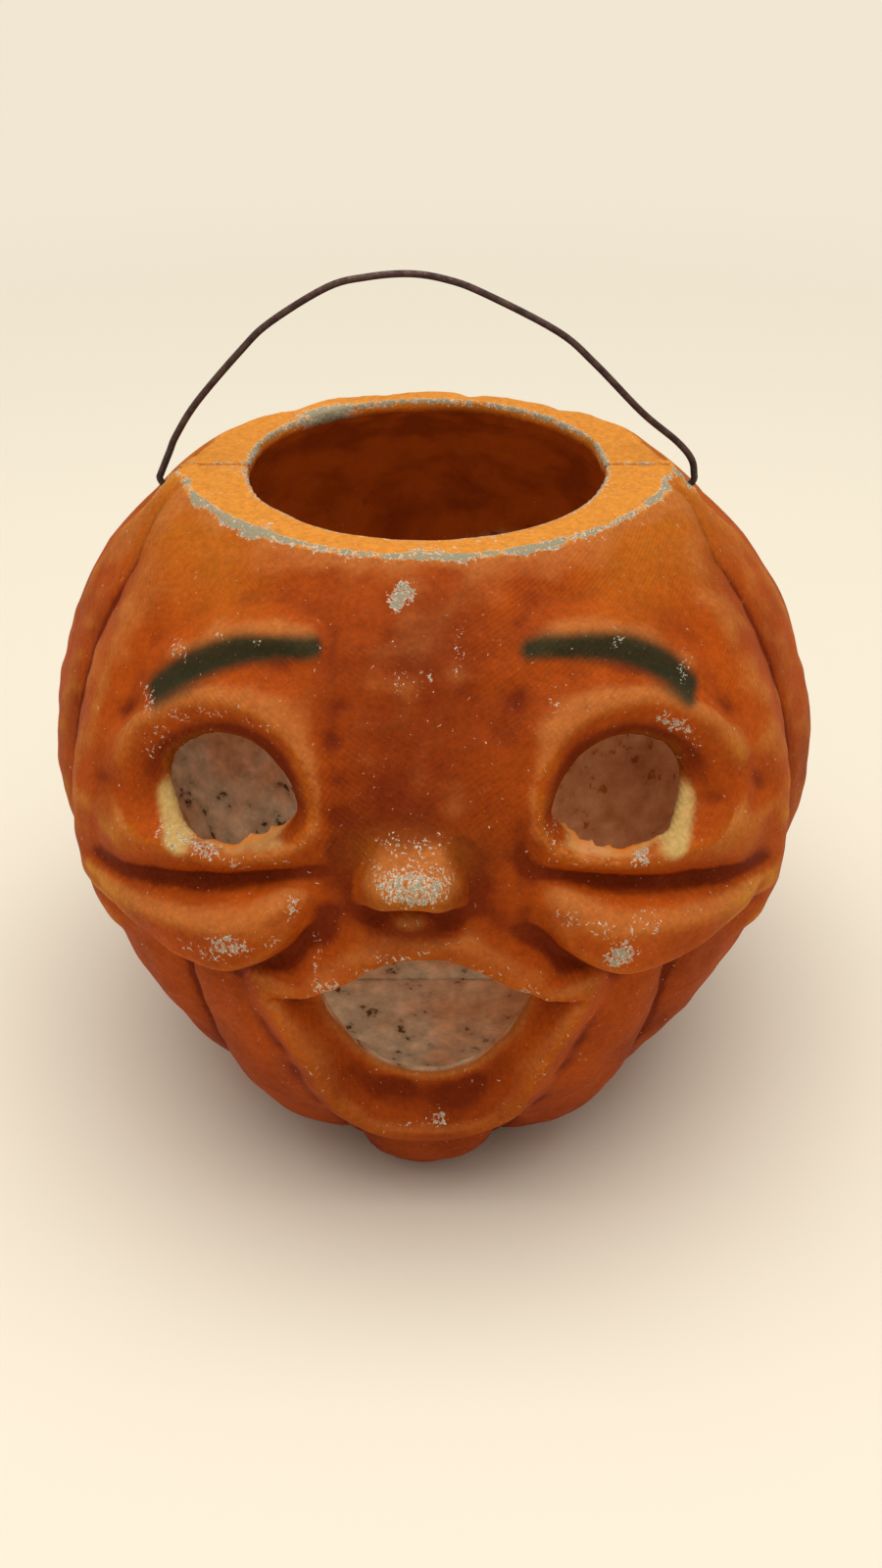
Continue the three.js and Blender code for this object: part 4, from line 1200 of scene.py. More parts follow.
@dataclass
class ShellMarks:
    """The marks that the painted pulp reads, each a share at every vertex of a half.

    Lengths are in millimetres and turns in degrees. A Span says where a share grows or fades.
    """

    spots: Spots
    skin: LanternSkin
    relief: FaceRelief
    hole_radius: float
    inner_depth: Span = (1.5, 2.6)
    hole_wall_reach: Span = (0.2, 0.8)
    hole_wall_depth: Span = (0.5, 1.2)
    ring_height: Span = (-0.8, -0.3)
    ring_start: Span = (-0.2, 0.6)
    face_start: Span = (0, 15)
    ledge_width: float = 0.3
    ledge_extra_width: float = 3.3
    ledge_widens: Span = (46, 52)
    ledge_narrows: Span = (25, 31)
    ledge_edge: Span = (-1, 0.8)
    ledge_depth: Span = (0.9, 1.8)
    ledge_outside: Span = (45, 50)
    ledge_top: Span = (26, 30)
    ledge_inside: Span = (25, 29)
    ledge_reach: float = 8
    # Painted shade in hollows, lobe valleys, the sockets' upper walls, under the nose and low down; the
    # forehead is darker too.
    hollow_depth: Span = (0.05, 0.9)
    hollow_shade: float = 0.9
    forehead_dark: Patch = Patch((0, 40), (22, 30), 0.75)
    below_waist: Span = (10, 60)
    low_shade: float = 0.4
    valley_shade: float = 0.5
    socket_wall: Span = (0.1, 0.6)
    socket_top: Span = (20, 36)
    socket_shade: float = 0.9
    under_nose_shadow: Patch = Patch((-2.6, 11), (11, 4), 0.85)
    # Ochre with painted highlight on ridges and crests, lighter high up on the sides, and a painted
    # highlight on the top of the nose.
    ridge_height: Span = (0.08, 0.3)
    ridge_light: Span = (0.15, 0.6)
    crest_height: Span = (0.2, 1.2)
    crest_light: float = 0.55
    face_side: Span = (58, 70)
    temple_height: Span = (52, 70)
    temple_side: Span = (25, 45)
    temple_light: float = 0.35
    nose_highlight: Patch = Patch((-2.6, 25), (11, 5), 0.3)
    # The painted sheen on swellings that look up.
    sheen_height: Span = (0.15, 0.9)
    sheen_tilt: Span = (-0.1, 0.6)
    sheen_share: float = 0.7
    brow_middle: float = 38.5
    brow_half_length: float = 20.5
    brow_tip_width: float = 0.6
    brow_extra_width: float = 1.8
    brow_edge: Span = (-1, 1.2)
    brow_share: float = 0.92
    brow: tuple = (
        (-56.1, 44.7), (-50.6, 49.3), (-46.3, 52.4), (-41.1, 55.2), (-35.9, 57.3), (-28.9, 58.6),
        (-21.9, 59.1),
    )
    right_brow: tuple = (
        (20.2, 58.7), (24.5, 59.2), (32.5, 58.3), (38.5, 56.9), (44.7, 54.1), (50, 50.6), (54.3, 46.6),
    )
    front_turn: Span = (80, 100)
    rim_band: float = -1
    rim_band_front: float = 1.1
    rim_band_ragged: float = 0.3
    rim_edge_fade: Span = (0, 1.1)
    rim_bare: Span = (0.45, 0.75)
    left_chip_turn: float = -48
    left_chip_width: float = 9
    left_chip_band: float = 0.9
    hole_edge_fade: Span = (0.2, 1.8)
    hole_bare: float = 0.5
    hole_bare_behind: float = 0.15
    back_tear: Patch = Patch((-25, 33), (9, 7), 0.85)
    back_tear_reach: Span = (41, 46)
    seam_scratch: Span = (0.3, 1.6)
    seam_bare: float = 0.34
    seam_bare_ragged: float = 0.12
    wire_tear_place: Point = (1, 66.5)
    wire_tear_stretch: float = 1.2
    wire_tear_fade: Span = (3.5, 7.5)
    wire_tear_side: float = 46
    wire_bare: float = 0.8
    worn_ridge: Span = (0.15, 0.5)
    ridge_wear: float = 0.5
    ring_wear: float = 0.04
    scuff_blur: float = 0.6
    scuff_edge: Span = (0.4, 1.1)
    raw_top: Span = (8, 16)
    raw_ragged: float = 6
    stray_side: Span = (10, 22)
    stray_top: Span = (-20, 5)
    stray_share: float = 0.55
    screen_turn: float = 32

    def keep_on(self, piece: bpy.types.Object) -> None:
        """Stores every mark on the piece under the name that the finish reads."""
        above_rim = self.spots.z - self.skin.height + self.skin.waist
        beyond_hole = self.spots.around - self.hole_radius
        ring = rising(above_rim, self.ring_height) * rising(beyond_hole, self.ring_start)
        inner = self.inner(above_rim, beyond_hole)
        face = rising(-self.spots.y, self.face_start) * (1 - ring)
        socket = curved(self.relief.socket, True)
        from_eye = self.relief.from_eye(self.spots.x, self.spots.z)
        in_socket = is_inside(socket, self.spots.side, self.spots.z) * face
        from_socket = distance_to(socket, self.spots.side, self.spots.z)
        sunk = from_socket / (from_socket + from_eye + TINY) * in_socket
        ledge = self.ledge(from_eye) * face
        bare = self.bare(ring, above_rim, beyond_hole)
        bare, wear = self.scuffed(bare, self.wear(ring, inner), face, inner)
        painted_sheen = self.painted_sheen(face) * (1 - in_socket)
        brow = self.brows() * face * (1 - inner)
        marks = (
            self.dark(face, sunk, ledge), self.light(face, ring), painted_sheen, brow, ledge, ring,
            inner * (1 - ledge), self.raw_inside(), bare, wear,
        )
        for name, values in zip(MARK_NAMES, marks):
            store(piece, name, values)
        self.keep_screen_on(piece)

    def under_skin(self) -> np.ndarray:
        """Returns how deep each vertex lies under the outer skin."""
        reach = np.linalg.norm(self.spots.points, axis=1)
        return self.skin.radius(self.spots.azimuth, self.spots.elevation) - reach

    def inner(self, above_rim: np.ndarray, beyond_hole: np.ndarray) -> np.ndarray:
        """Returns what faces the cavity, with the wall of the top hole."""
        depth = np.minimum(np.minimum(self.under_skin(), -above_rim), self.spots.z + self.skin.waist)
        hole_wall = falling(beyond_hole, self.hole_wall_reach) * rising(-above_rim, self.hole_wall_depth)
        return np.maximum(rising(depth, self.inner_depth), hole_wall)

    def ledge(self, from_eye: np.ndarray) -> np.ndarray:
        """Returns the pale ledge that shows inside the lower rim of each eye."""
        side, z = self.spots.side, self.spots.z
        widening = rising(side, self.ledge_widens) * falling(z, self.ledge_narrows)
        width = self.ledge_width + self.ledge_extra_width * widening
        near_eye = falling(from_eye - width, self.ledge_edge) * (from_eye < self.ledge_reach)
        deep = rising(self.under_skin(), self.ledge_depth)
        back_edge = np.maximum(deep, rising(side, self.ledge_outside))
        return near_eye * back_edge * falling(z, self.ledge_top) * rising(side, self.ledge_inside)

    def dark(self, face: np.ndarray, sunk: np.ndarray, ledge: np.ndarray) -> np.ndarray:
        """Returns where the colour is deeper: painted shade in hollows, valleys, the sockets' upper
        walls, under the nose and low down, and a deeper tone over the forehead.
        """
        spots = self.spots
        valley = self.skin.lobe_hollow(spots.azimuth, spots.elevation) / self.skin.lobe_depth
        hollow = self.hollow_shade * rising(-spots.swell, self.hollow_depth)
        below = self.low_shade * rising(-spots.z, self.below_waist)
        forehead = self.forehead_dark.at(spots.x, spots.z) * face
        socket = rising(sunk, self.socket_wall) * rising(spots.z, self.socket_top) * (1 - ledge)
        under_nose = self.under_nose_shadow.at(spots.x, spots.z) * face
        spread = hollow + forehead + below + self.valley_shade * valley
        return np.clip(np.maximum.reduce([spread, self.socket_shade * socket, under_nose]), 0, 1)

    def light(self, face: np.ndarray, ring: np.ndarray) -> np.ndarray:
        """Returns where the colour goes ochre: thin spray and painted highlight on ridges and crests,
        lighter high up on the sides, and a painted highlight on the top of the nose.
        """
        spots = self.spots
        off_face = np.maximum(1 - face, rising(spots.side, self.face_side))
        least, most = self.ridge_light
        ridge = rising(spots.ridge, self.ridge_height) * (least + (most - least) * off_face)
        crest = self.crest_light * rising(spots.swell, self.crest_height) * off_face
        temple = rising(spots.z, self.temple_height) * rising(spots.side, self.temple_side)
        nose = self.nose_highlight.at(spots.x, spots.z) * face
        return np.clip((ridge + crest + self.temple_light * temple + nose) * (1 - ring), 0, 1)

    def painted_sheen(self, face: np.ndarray) -> np.ndarray:
        """Returns the painted sheen, paler where the swellings of the face look up into the light."""
        tilt = rising(self.spots.facing_up, self.sheen_tilt)
        return self.sheen_share * rising(self.spots.swell, self.sheen_height) * tilt * face

    def brows(self) -> np.ndarray:
        """Returns the two brush strokes of the brows, widest in their middle."""
        x, z = self.spots.x, self.spots.z
        lines = (self.brow, self.right_brow)
        stroke = np.minimum(*(distance_to(curved(list(line)), x, z) for line in lines))
        along = (self.spots.side - self.brow_middle) / self.brow_half_length
        width = self.brow_tip_width + self.brow_extra_width * np.sqrt(np.clip(1 - along**2, 0, 1))
        return self.brow_share * falling(stroke - width, self.brow_edge)

    def bare(self, ring: np.ndarray, above_rim: np.ndarray, beyond_hole: np.ndarray) -> np.ndarray:
        """Returns where paint and primer are gone from the torn edges.

        Args:
            ring: The share of the flat ring.
            above_rim: Heights above the ring.
            beyond_hole: Distances out from the edge of the top hole.

        Returns:
            The share of bare pulp at the ring's edge, the hole's edge, the seam and the wire's holes.
        """
        spots = self.spots
        inward = self.skin.rim_edge(spots.azimuth) - spots.around
        to_edge = np.hypot(np.maximum(inward, 0), above_rim)
        front = falling(np.abs(spots.azimuth), self.front_turn)
        left_chip = np.exp(-(((spots.azimuth - self.left_chip_turn) / self.left_chip_width) ** 2))
        ragged = self.rim_band_ragged * uneven(spots.points, 6, seed=61)
        band = self.rim_band + self.rim_band_front * front + self.left_chip_band * left_chip + ragged
        behind, before = self.rim_bare
        rim_edge = (behind + (before - behind) * front) * falling(to_edge - band, self.rim_edge_fade)
        hole_share = self.hole_bare + self.hole_bare_behind * (spots.y > 0)
        hole_edge = falling(np.hypot(beyond_hole, above_rim), self.hole_edge_fade) * hole_share
        back_tear = self.back_tear.at(spots.x, spots.y) * falling(spots.around, self.back_tear_reach)
        seam_share = self.seam_bare + self.seam_bare_ragged * uneven(spots.points, 7, seed=62)
        seam = ring * falling(np.abs(spots.y), self.seam_scratch) * seam_share
        behind_seam, height = self.wire_tear_place
        tear = np.hypot((spots.y - behind_seam) / self.wire_tear_stretch, spots.z - height)
        outside = (spots.side > self.wire_tear_side) * (1 - ring)
        at_wire = self.wire_bare * falling(tear, self.wire_tear_fade) * outside
        return np.maximum.reduce([rim_edge, hole_edge, back_tear, seam, at_wire])

    def wear(self, ring: np.ndarray, inner: np.ndarray) -> np.ndarray:
        """Returns where the paint is rubbed thin, on sharp ridges and a little on the ring."""
        ridges = self.ridge_wear * rising(self.spots.ridge, self.worn_ridge)
        return (ridges + self.ring_wear * ring) * (1 - inner)

    def scuffed(
        self, bare: np.ndarray, wear: np.ndarray, face: np.ndarray, inner: np.ndarray
    ) -> tuple[np.ndarray, np.ndarray]:
        """Adds the worn places of the face to the bare and the worn share, and returns both."""
        for scuff in face_scuffs():
            beside = (self.spots.x - scuff.x) / (scuff.width + self.scuff_blur)
            above = (self.spots.z - scuff.z) / (scuff.height + self.scuff_blur)
            here = falling(np.hypot(beside, above), self.scuff_edge) * face * (1 - inner)
            bare = np.maximum(bare, scuff.bare * here)
            wear = np.maximum(wear, scuff.wear * here)
        return bare, wear

    def raw_inside(self) -> np.ndarray:
        """Returns where the inside is bare pulp, low down, but for stray paint on one side."""
        spots = self.spots
        beside = spots.x + self.raw_ragged * uneven(spots.points, 14, seed=42)
        stray = rising(beside, self.stray_side) * falling(spots.z, self.stray_top)
        height = spots.z + self.raw_ragged * uneven(spots.points, 30, seed=41)
        return falling(height, self.raw_top) * (1 - self.stray_share * stray)

    def keep_screen_on(self, piece: bpy.types.Object) -> None:
        """Stores where each vertex lies on the mould's screen, along its two sets of threads."""
        across = np.radians(np.abs(self.spots.azimuth)) * self.spots.around
        up = np.radians(self.spots.elevation) * self.skin.half_width
        bias = math.radians(self.screen_turn)
        warp = across * math.cos(bias) + up * math.sin(bias)
        weft = up * math.cos(bias) - across * math.sin(bias)
        screen = piece.data.attributes.new("screen", "FLOAT_VECTOR", "POINT")
        threads = np.stack([warp, weft, 0 * up], axis=-1)
        screen.data.foreach_set("vector", threads.astype(np.float32).ravel())


@dataclass
class PulpShell:
    """One moulded half: a wall of pulp with its cut openings, and the marks that its finish reads."""

    half: Half
    skin: LanternSkin
    relief: FaceRelief
    placing: Placing
    wall: float = 3.5
    floor: float = 4
    rim_thickness: float = 3.5
    cavity_margin: float = 3.5
    eye_margin: float = 0.6
    inner_lump: float = 0.45
    hole_diameter: float = 79.5
    wire_hole_diameter: float = 3.8
    seam_gap: float = 0.1
    front_grain: float = 1.09
    back_grain: float = 1.2
    most_triangles: int = 190000
    wire_hole_length: float = 300
    hole_ragged: float = 0.25
    opening_ragged: float = 0.25
    punch_front: float = -120
    punch_length: float = 115
    calm_at_wire: Span = (10, 25)
    small_lump_share: float = 0.6
    thin_at_eye: Span = (4, 9)
    clear_of_strips: Span = (10, 16)
    clear_of_eye: Span = (2, 7)
    seam_snap: float = 0.7
    skin_snap: float = 0.7
    end_clearance: float = 1.5
    opening_clearance: float = 1.3
    rounded_edge: Span = (0.6, 2)
    rounding: int = 3
    quick_grain: float = 1.6
    torn_corners: tuple = ((-57, 1, 69), (56, -2, 70))
    torn_reach: Span = (2, 9)
    torn_outside: Span = (3, 8)
    torn_height: float = 1.1
    torn_sideways: float = 0.15
    seam_calm: Span = (1, 7)
    bending_reaches: tuple = (2.2, 6.5)

    def build(self) -> bpy.types.Object:
        """Models and marks the half.

        Returns:
            The finished piece.
        """
        name = f"moulded_{self.half.name.lower()}_half"
        piece = self.solid(name)
        cut_away(piece, self.cavity())
        cut_away(piece, self.top_hole())
        if self.half is Half.FRONT:
            eye = curved(self.relief.eye, True)
            for opening in (eye, eye * (-1, 1), self.relief.mouth()):
                cut_away(piece, self.punch(opening))
        else:
            cut_away(piece, self.wire_hole())
        self.weather(piece)
        self.mark(piece)
        select_only(piece)
        bpy.ops.object.shade_smooth()
        return piece

    def ball(
        self, name: str, segments: int, rings: int, radius: Any, focus: bool
    ) -> bpy.types.Object:
        """Adds a ball and moves its points out to a radius.

        Args:
            name: The piece's name.
            segments: Divisions round the upright axis.
            rings: Divisions from pole to pole.
            radius: Gives the radius at any azimuth and elevation.
            focus: Whether most of the divisions are gathered on the face.

        Returns:
            The closed ball.
        """
        bpy.ops.object.select_all(action="DESELECT")
        bpy.ops.mesh.primitive_uv_sphere_add(segments=segments, ring_count=rings, radius=1)
        piece = new_piece(name)
        points = read_points(piece)
        azimuth = np.degrees(np.arctan2(points[:, 0], -points[:, 1]))
        elevation = np.degrees(np.arcsin(np.clip(points[:, 2], -1, 1)))
        if focus:
            turns = (-180, -150, -110, 110, 150, 180)
            azimuth = np.interp(azimuth, turns, (-180, -90, -60, 60, 90, 180))
            elevation = np.interp(elevation, (-90, -62, 62, 90), (-90, -46, 50, 90))
        directions = np.stack(self.skin.directions(azimuth, elevation), axis=-1)
        bodied = directions * radius(azimuth, elevation)[:, None]
        write_points(piece, self.placing.to_frame(bodied))
        return piece

    def slice_off(self, piece: bpy.types.Object, planes: list) -> None:
        """Cuts off and caps what lies outside each plane.

        Args:
            piece: The closed piece.
            planes: A point in body millimetres above the table and the outward direction of each plane.
        """
        select_only(piece)
        bpy.ops.object.mode_set(mode="EDIT")
        for place, outwards in planes:
            where = (np.array(place) + np.array(self.placing.shift)) * MM
            bpy.ops.mesh.select_all(action="SELECT")
            bpy.ops.mesh.bisect(
                plane_co=tuple(where), plane_no=outwards, use_fill=True, clear_outer=True, threshold=1e-7
            )
        bpy.ops.object.mode_set(mode="OBJECT")

    def solid(self, name: str) -> bpy.types.Object:
        """Returns the half as a full solid, cut flat at the table, the rim and the seam."""
        front = self.half is Half.FRONT
        segments, rings = (400, 280) if front else (220, 150)
        piece = self.ball(name, segments, rings, self.lumpy, focus=front)
        self.slice_off(piece, [
            ((0, self.seam(), 0), (0, -self.half.value, 0)),
            ((0, 0, 0), (0, 0, -1)),
            ((0, 0, self.skin.height), (0, 0, 1)),
        ])
        return piece

    def seam(self) -> float:
        """Returns where the half ends, half the seam's gap from the middle."""
        return self.half.value * self.seam_gap / 2

    def lumpy(self, azimuth: np.ndarray, elevation: np.ndarray) -> np.ndarray:
        """Returns the skin's radius with the soft unevenness of hand-pressed pulp."""
        radius = self.skin.radius(azimuth, elevation)
        places = np.stack(self.skin.directions(azimuth, elevation), axis=-1) * radius[..., None]
        hinge = self.skin.hinge_height - self.skin.waist
        near_wire = np.hypot(places[:, 1] - self.skin.hinge_behind_seam, places[:, 2] - hinge)
        calm = rising(near_wire, self.calm_at_wire)
        lumps = uneven(places, 24, seed=3) + self.small_lump_share * uneven(places, 9, seed=5)
        return radius + self.skin.lump_height * calm * lumps

    def inner_radius(self, azimuth: np.ndarray, elevation: np.ndarray) -> np.ndarray:
        """Returns the cavity's radius: a wall's thickness under the lowest skin close by."""
        least = self.lowest(azimuth, elevation, self.cavity_margin)
        close = self.lowest(azimuth, elevation, self.eye_margin)
        places = np.stack(self.skin.directions(azimuth, elevation), axis=-1) * least[..., None]
        x, y, z = places.T
        from_eye = self.relief.from_eye(x, z)
        least = least + (close - least) * falling(from_eye, self.thin_at_eye) * (y < 0)
        off_eyes = np.where(y < 0, rising(from_eye, self.clear_of_eye), 1)
        smooth = rising(np.abs(y), self.clear_of_strips) * off_eyes
        lumps = uneven(places, 9, seed=11) + self.small_lump_share * uneven(places, 5, seed=12)
        return least - self.wall + self.inner_lump * lumps * smooth

    def lowest(self, azimuth: np.ndarray, elevation: np.ndarray, margin: float) -> np.ndarray:
        """Returns the least radius of the skin within a margin in degrees."""
        least = np.full(np.shape(azimuth), np.inf)
        for turn in (-margin, 0, margin):
            for tilt in (-margin, 0, margin):
                turned = (azimuth + turn + 180) % 360 - 180
                tilted = np.clip(elevation + tilt, -90, 90)
                least = np.minimum(least, self.skin.radius(turned, tilted))
        return least

    def cavity(self) -> bpy.types.Object:
        """Returns the hollow inside, flat at the floor and under the rim."""
        piece = self.ball("cavity", 200, 140, self.inner_radius, focus=False)
        ceiling = self.skin.height - self.rim_thickness
        self.slice_off(piece, [((0, 0, self.floor), (0, 0, -1)), ((0, 0, ceiling), (0, 0, 1))])
        return piece

    def top_hole(self) -> bpy.types.Object:
        """Returns the cutter of the round top hole, a little uneven as it is torn."""
        bpy.ops.object.select_all(action="DESELECT")
        middle = self.placing.to_frame(np.array([0, 0, self.skin.height - self.skin.waist]))
        bpy.ops.mesh.primitive_cylinder_add(
            vertices=160, radius=self.hole_diameter / 2 * MM, depth=20 * MM, location=middle
        )
        piece = new_piece("top_hole")
        bpy.ops.object.transform_apply(location=True, rotation=True, scale=True)
        points = self.placing.to_body(read_points(piece))
        turn = np.arctan2(points[:, 0], -points[:, 1])
        around = np.stack([np.sin(turn), np.cos(turn), 0 * turn], axis=-1) * 40
        reach = self.hole_diameter / 2 + self.hole_ragged * uneven(around, 14, seed=21)
        points[:, 0], points[:, 1] = reach * np.sin(turn), -reach * np.cos(turn)
        write_points(piece, self.placing.to_frame(points))
        return piece

    def punch(self, outline: np.ndarray) -> bpy.types.Object:
        """Returns a cutter that runs straight back through the face.

        Args:
            outline: The opening's outline in the front view.

        Returns:
            The closed cutter.
        """
        corners = outline[:-1]
        bpy.ops.object.select_all(action="DESELECT")
        bpy.ops.mesh.primitive_circle_add(vertices=len(corners), fill_type="NGON")
        piece = new_piece("punch")
        ragged = self.opening_ragged * uneven(np.pad(corners, ((0, 0), (0, 1))), 5, seed=31)
        away = corners - corners.mean(axis=0)
        torn = corners + away / np.linalg.norm(away, axis=1)[:, None] * ragged[:, None]
        front = np.full(len(corners), self.punch_front)
        places = np.stack([torn[:, 0], front, torn[:, 1]], axis=-1)
        write_points(piece, self.placing.to_frame(places))
        bpy.ops.object.mode_set(mode="EDIT")
        bpy.ops.mesh.select_all(action="SELECT")
        backwards = (0, self.punch_length * MM, 0)
        bpy.ops.mesh.extrude_region_move(TRANSFORM_OT_translate={"value": backwards})
        bpy.ops.mesh.select_all(action="SELECT")
        bpy.ops.mesh.normals_make_consistent(inside=False)
        bpy.ops.object.mode_set(mode="OBJECT")
        return piece

    def wire_hole(self) -> bpy.types.Object:
        """Returns the cutter of the two holes that the bail hooks into."""
        bpy.ops.object.select_all(action="DESELECT")
        height = self.skin.hinge_height - self.skin.waist
        middle = self.placing.to_frame(np.array([0, self.skin.hinge_behind_seam, height]))
        bpy.ops.mesh.primitive_cylinder_add(
            vertices=24, radius=self.wire_hole_diameter / 2 * MM, depth=self.wire_hole_length * MM,
            location=middle, rotation=(0, math.pi / 2, 0),
        )
        piece = new_piece("wire_hole")
        bpy.ops.object.transform_apply(location=True, rotation=True, scale=True)
        return piece

    def tear(self, points: np.ndarray) -> None:
        """Roughs up the torn pulp at the ring's two corners.

        Args:
            points: The points about the waist, changed in place.
        """
        outside = np.add(self.torn_outside, self.hole_diameter / 2)
        off_hole = rising(np.hypot(*points[:, :2].T), outside)
        for corner in self.torn_corners:
            away = np.linalg.norm(points - corner, axis=1)
            fuzz = falling(away, self.torn_reach) * (points[:, 0] * corner[0] > 0) * off_hole
            lumps = 0.5 * uneven(points, 3.2, seed=51) + 0.4 * uneven(points, 6, seed=52)
            direction = (self.torn_sideways * np.sign(corner[0]), 0, 1)
            points += (fuzz * lumps * self.torn_height)[:, None] * direction

    def grain(self) -> float:
        finest = self.front_grain if self.half is Half.FRONT else self.back_grain
        return finest * 1

    def weather(self, piece: bpy.types.Object) -> None:
        """Softens the cut edges as pulp's are, and keeps the piece to its faces' limit and its box."""
        grain = self.grain()
        use_modifier(piece, "REMESH", mode="VOXEL", voxel_size=grain * MM)
        points = self.placing.to_body(read_points(piece))
        self.settle(points, grain)
        self.round_openings(piece, points, grain)
        at_seam = np.abs(points[:, 1] - self.seam()) < self.seam_snap * grain
        points[at_seam, 1] = self.seam()
        self.tear(points)
        write_points(piece, np.clip(self.placing.to_frame(points), *map(np.array, CAD_BOX)))
        triangles = 2 * len(piece.data.polygons)
        log.info("%s: %d triangles after remeshing", piece.name, triangles)
        if triangles > self.most_triangles:
            use_modifier(piece, "DECIMATE", ratio=self.most_triangles / triangles)

    def round_openings(self, piece: bpy.types.Object, points: np.ndarray, grain: float) -> None:
        """Rounds the edges of the eyes and the mouth.

        Args:
            piece: The piece.
            points: The points about the waist, changed in place.
            grain: The size of the faces.
        """
        x, y, z = points.T
        away = self.relief.from_openings(x, z)
        share = falling(away, np.multiply(self.rounded_edge, grain)) * (y < 0)
        points += (self.relaxed(piece, points, self.rounding) - points) * share[:, None]

    def settle(self, points: np.ndarray, grain: float) -> None:
        """Puts the remeshed points of the outer skin back on it, away from the cut edges.

        Args:
            points: The points about the waist, changed in place.
            grain: The size of the faces.
        """
        x, y, z = points.T
        azimuth = np.degrees(np.arctan2(x, -y))
        elevation = np.degrees(np.arctan2(z, np.hypot(x, y)))
        reach = np.linalg.norm(points, axis=1)
        skin = self.lumpy(azimuth, elevation)
        clear = self.end_clearance * grain
        off_ends = (z < self.skin.height - self.skin.waist - clear) & (z > clear - self.skin.waist)
        outside = (np.abs(skin - reach) < self.skin_snap * grain) & off_ends
        if self.half is Half.FRONT:
            outside &= self.relief.from_openings(x, z) > self.opening_clearance * grain
        points[outside] *= (skin[outside] / reach[outside])[:, None]

    def relaxed(self, piece: bpy.types.Object, points: np.ndarray, rounds: int) -> np.ndarray:
        """Moves each point to the middle of its neighbours.

        Args:
            piece: The piece that says which points are neighbours.
            points: The points, one in each row.
            rounds: How often this is done.

        Returns:
            The softer points.
        """
        mesh = piece.data
        pairs = np.empty(len(mesh.edges) * 2, np.int64)
        mesh.edges.foreach_get("vertices", pairs)
        starts, ends = pairs[0::2], pairs[1::2]
        count = len(points)
        neighbours = np.bincount(starts, minlength=count) + np.bincount(ends, minlength=count)
        soft = points.copy()
        for _ in range(rounds):
            for axis in range(3):
                total = np.bincount(starts, soft[ends, axis], count)
                total += np.bincount(ends, soft[starts, axis], count)
                soft[:, axis] = total / neighbours
        return soft

    def bending(self, piece: bpy.types.Object, reach: float) -> np.ndarray:
        """Measures how far each point stands out from its surroundings.

        Args:
            piece: The piece.
            reach: How wide the surroundings are, in millimetres.

        Returns:
            Millimetres outwards at ridges, and negative in hollows.
        """
        points = read_points(piece) / MM
        soft = self.relaxed(piece, points, max(2, round((reach / self.grain()) ** 2)))
        return ((points - soft) * self.normals(piece)).sum(axis=1)

    @staticmethod
    def normals(piece: bpy.types.Object) -> np.ndarray:
        """Returns the outward direction at each vertex, one in each row."""
        normals = np.empty(len(piece.data.vertices) * 3)
        piece.data.vertex_normals.foreach_get("vector", normals)
        return normals.reshape(-1, 3)

    def mark(self, piece: bpy.types.Object) -> None:
        """Keeps on each vertex what the finish needs to know of its place."""
        points = self.placing.to_body(read_points(piece))
        off_seam = rising(np.abs(points[:, 1]), self.seam_calm)
        ridge, swell = (self.bending(piece, reach) * off_seam for reach in self.bending_reaches)
        spots = Spots(points, ridge, swell, self.normals(piece)[:, 2])
        ShellMarks(spots, self.skin, self.relief, self.hole_diameter / 2).keep_on(piece)


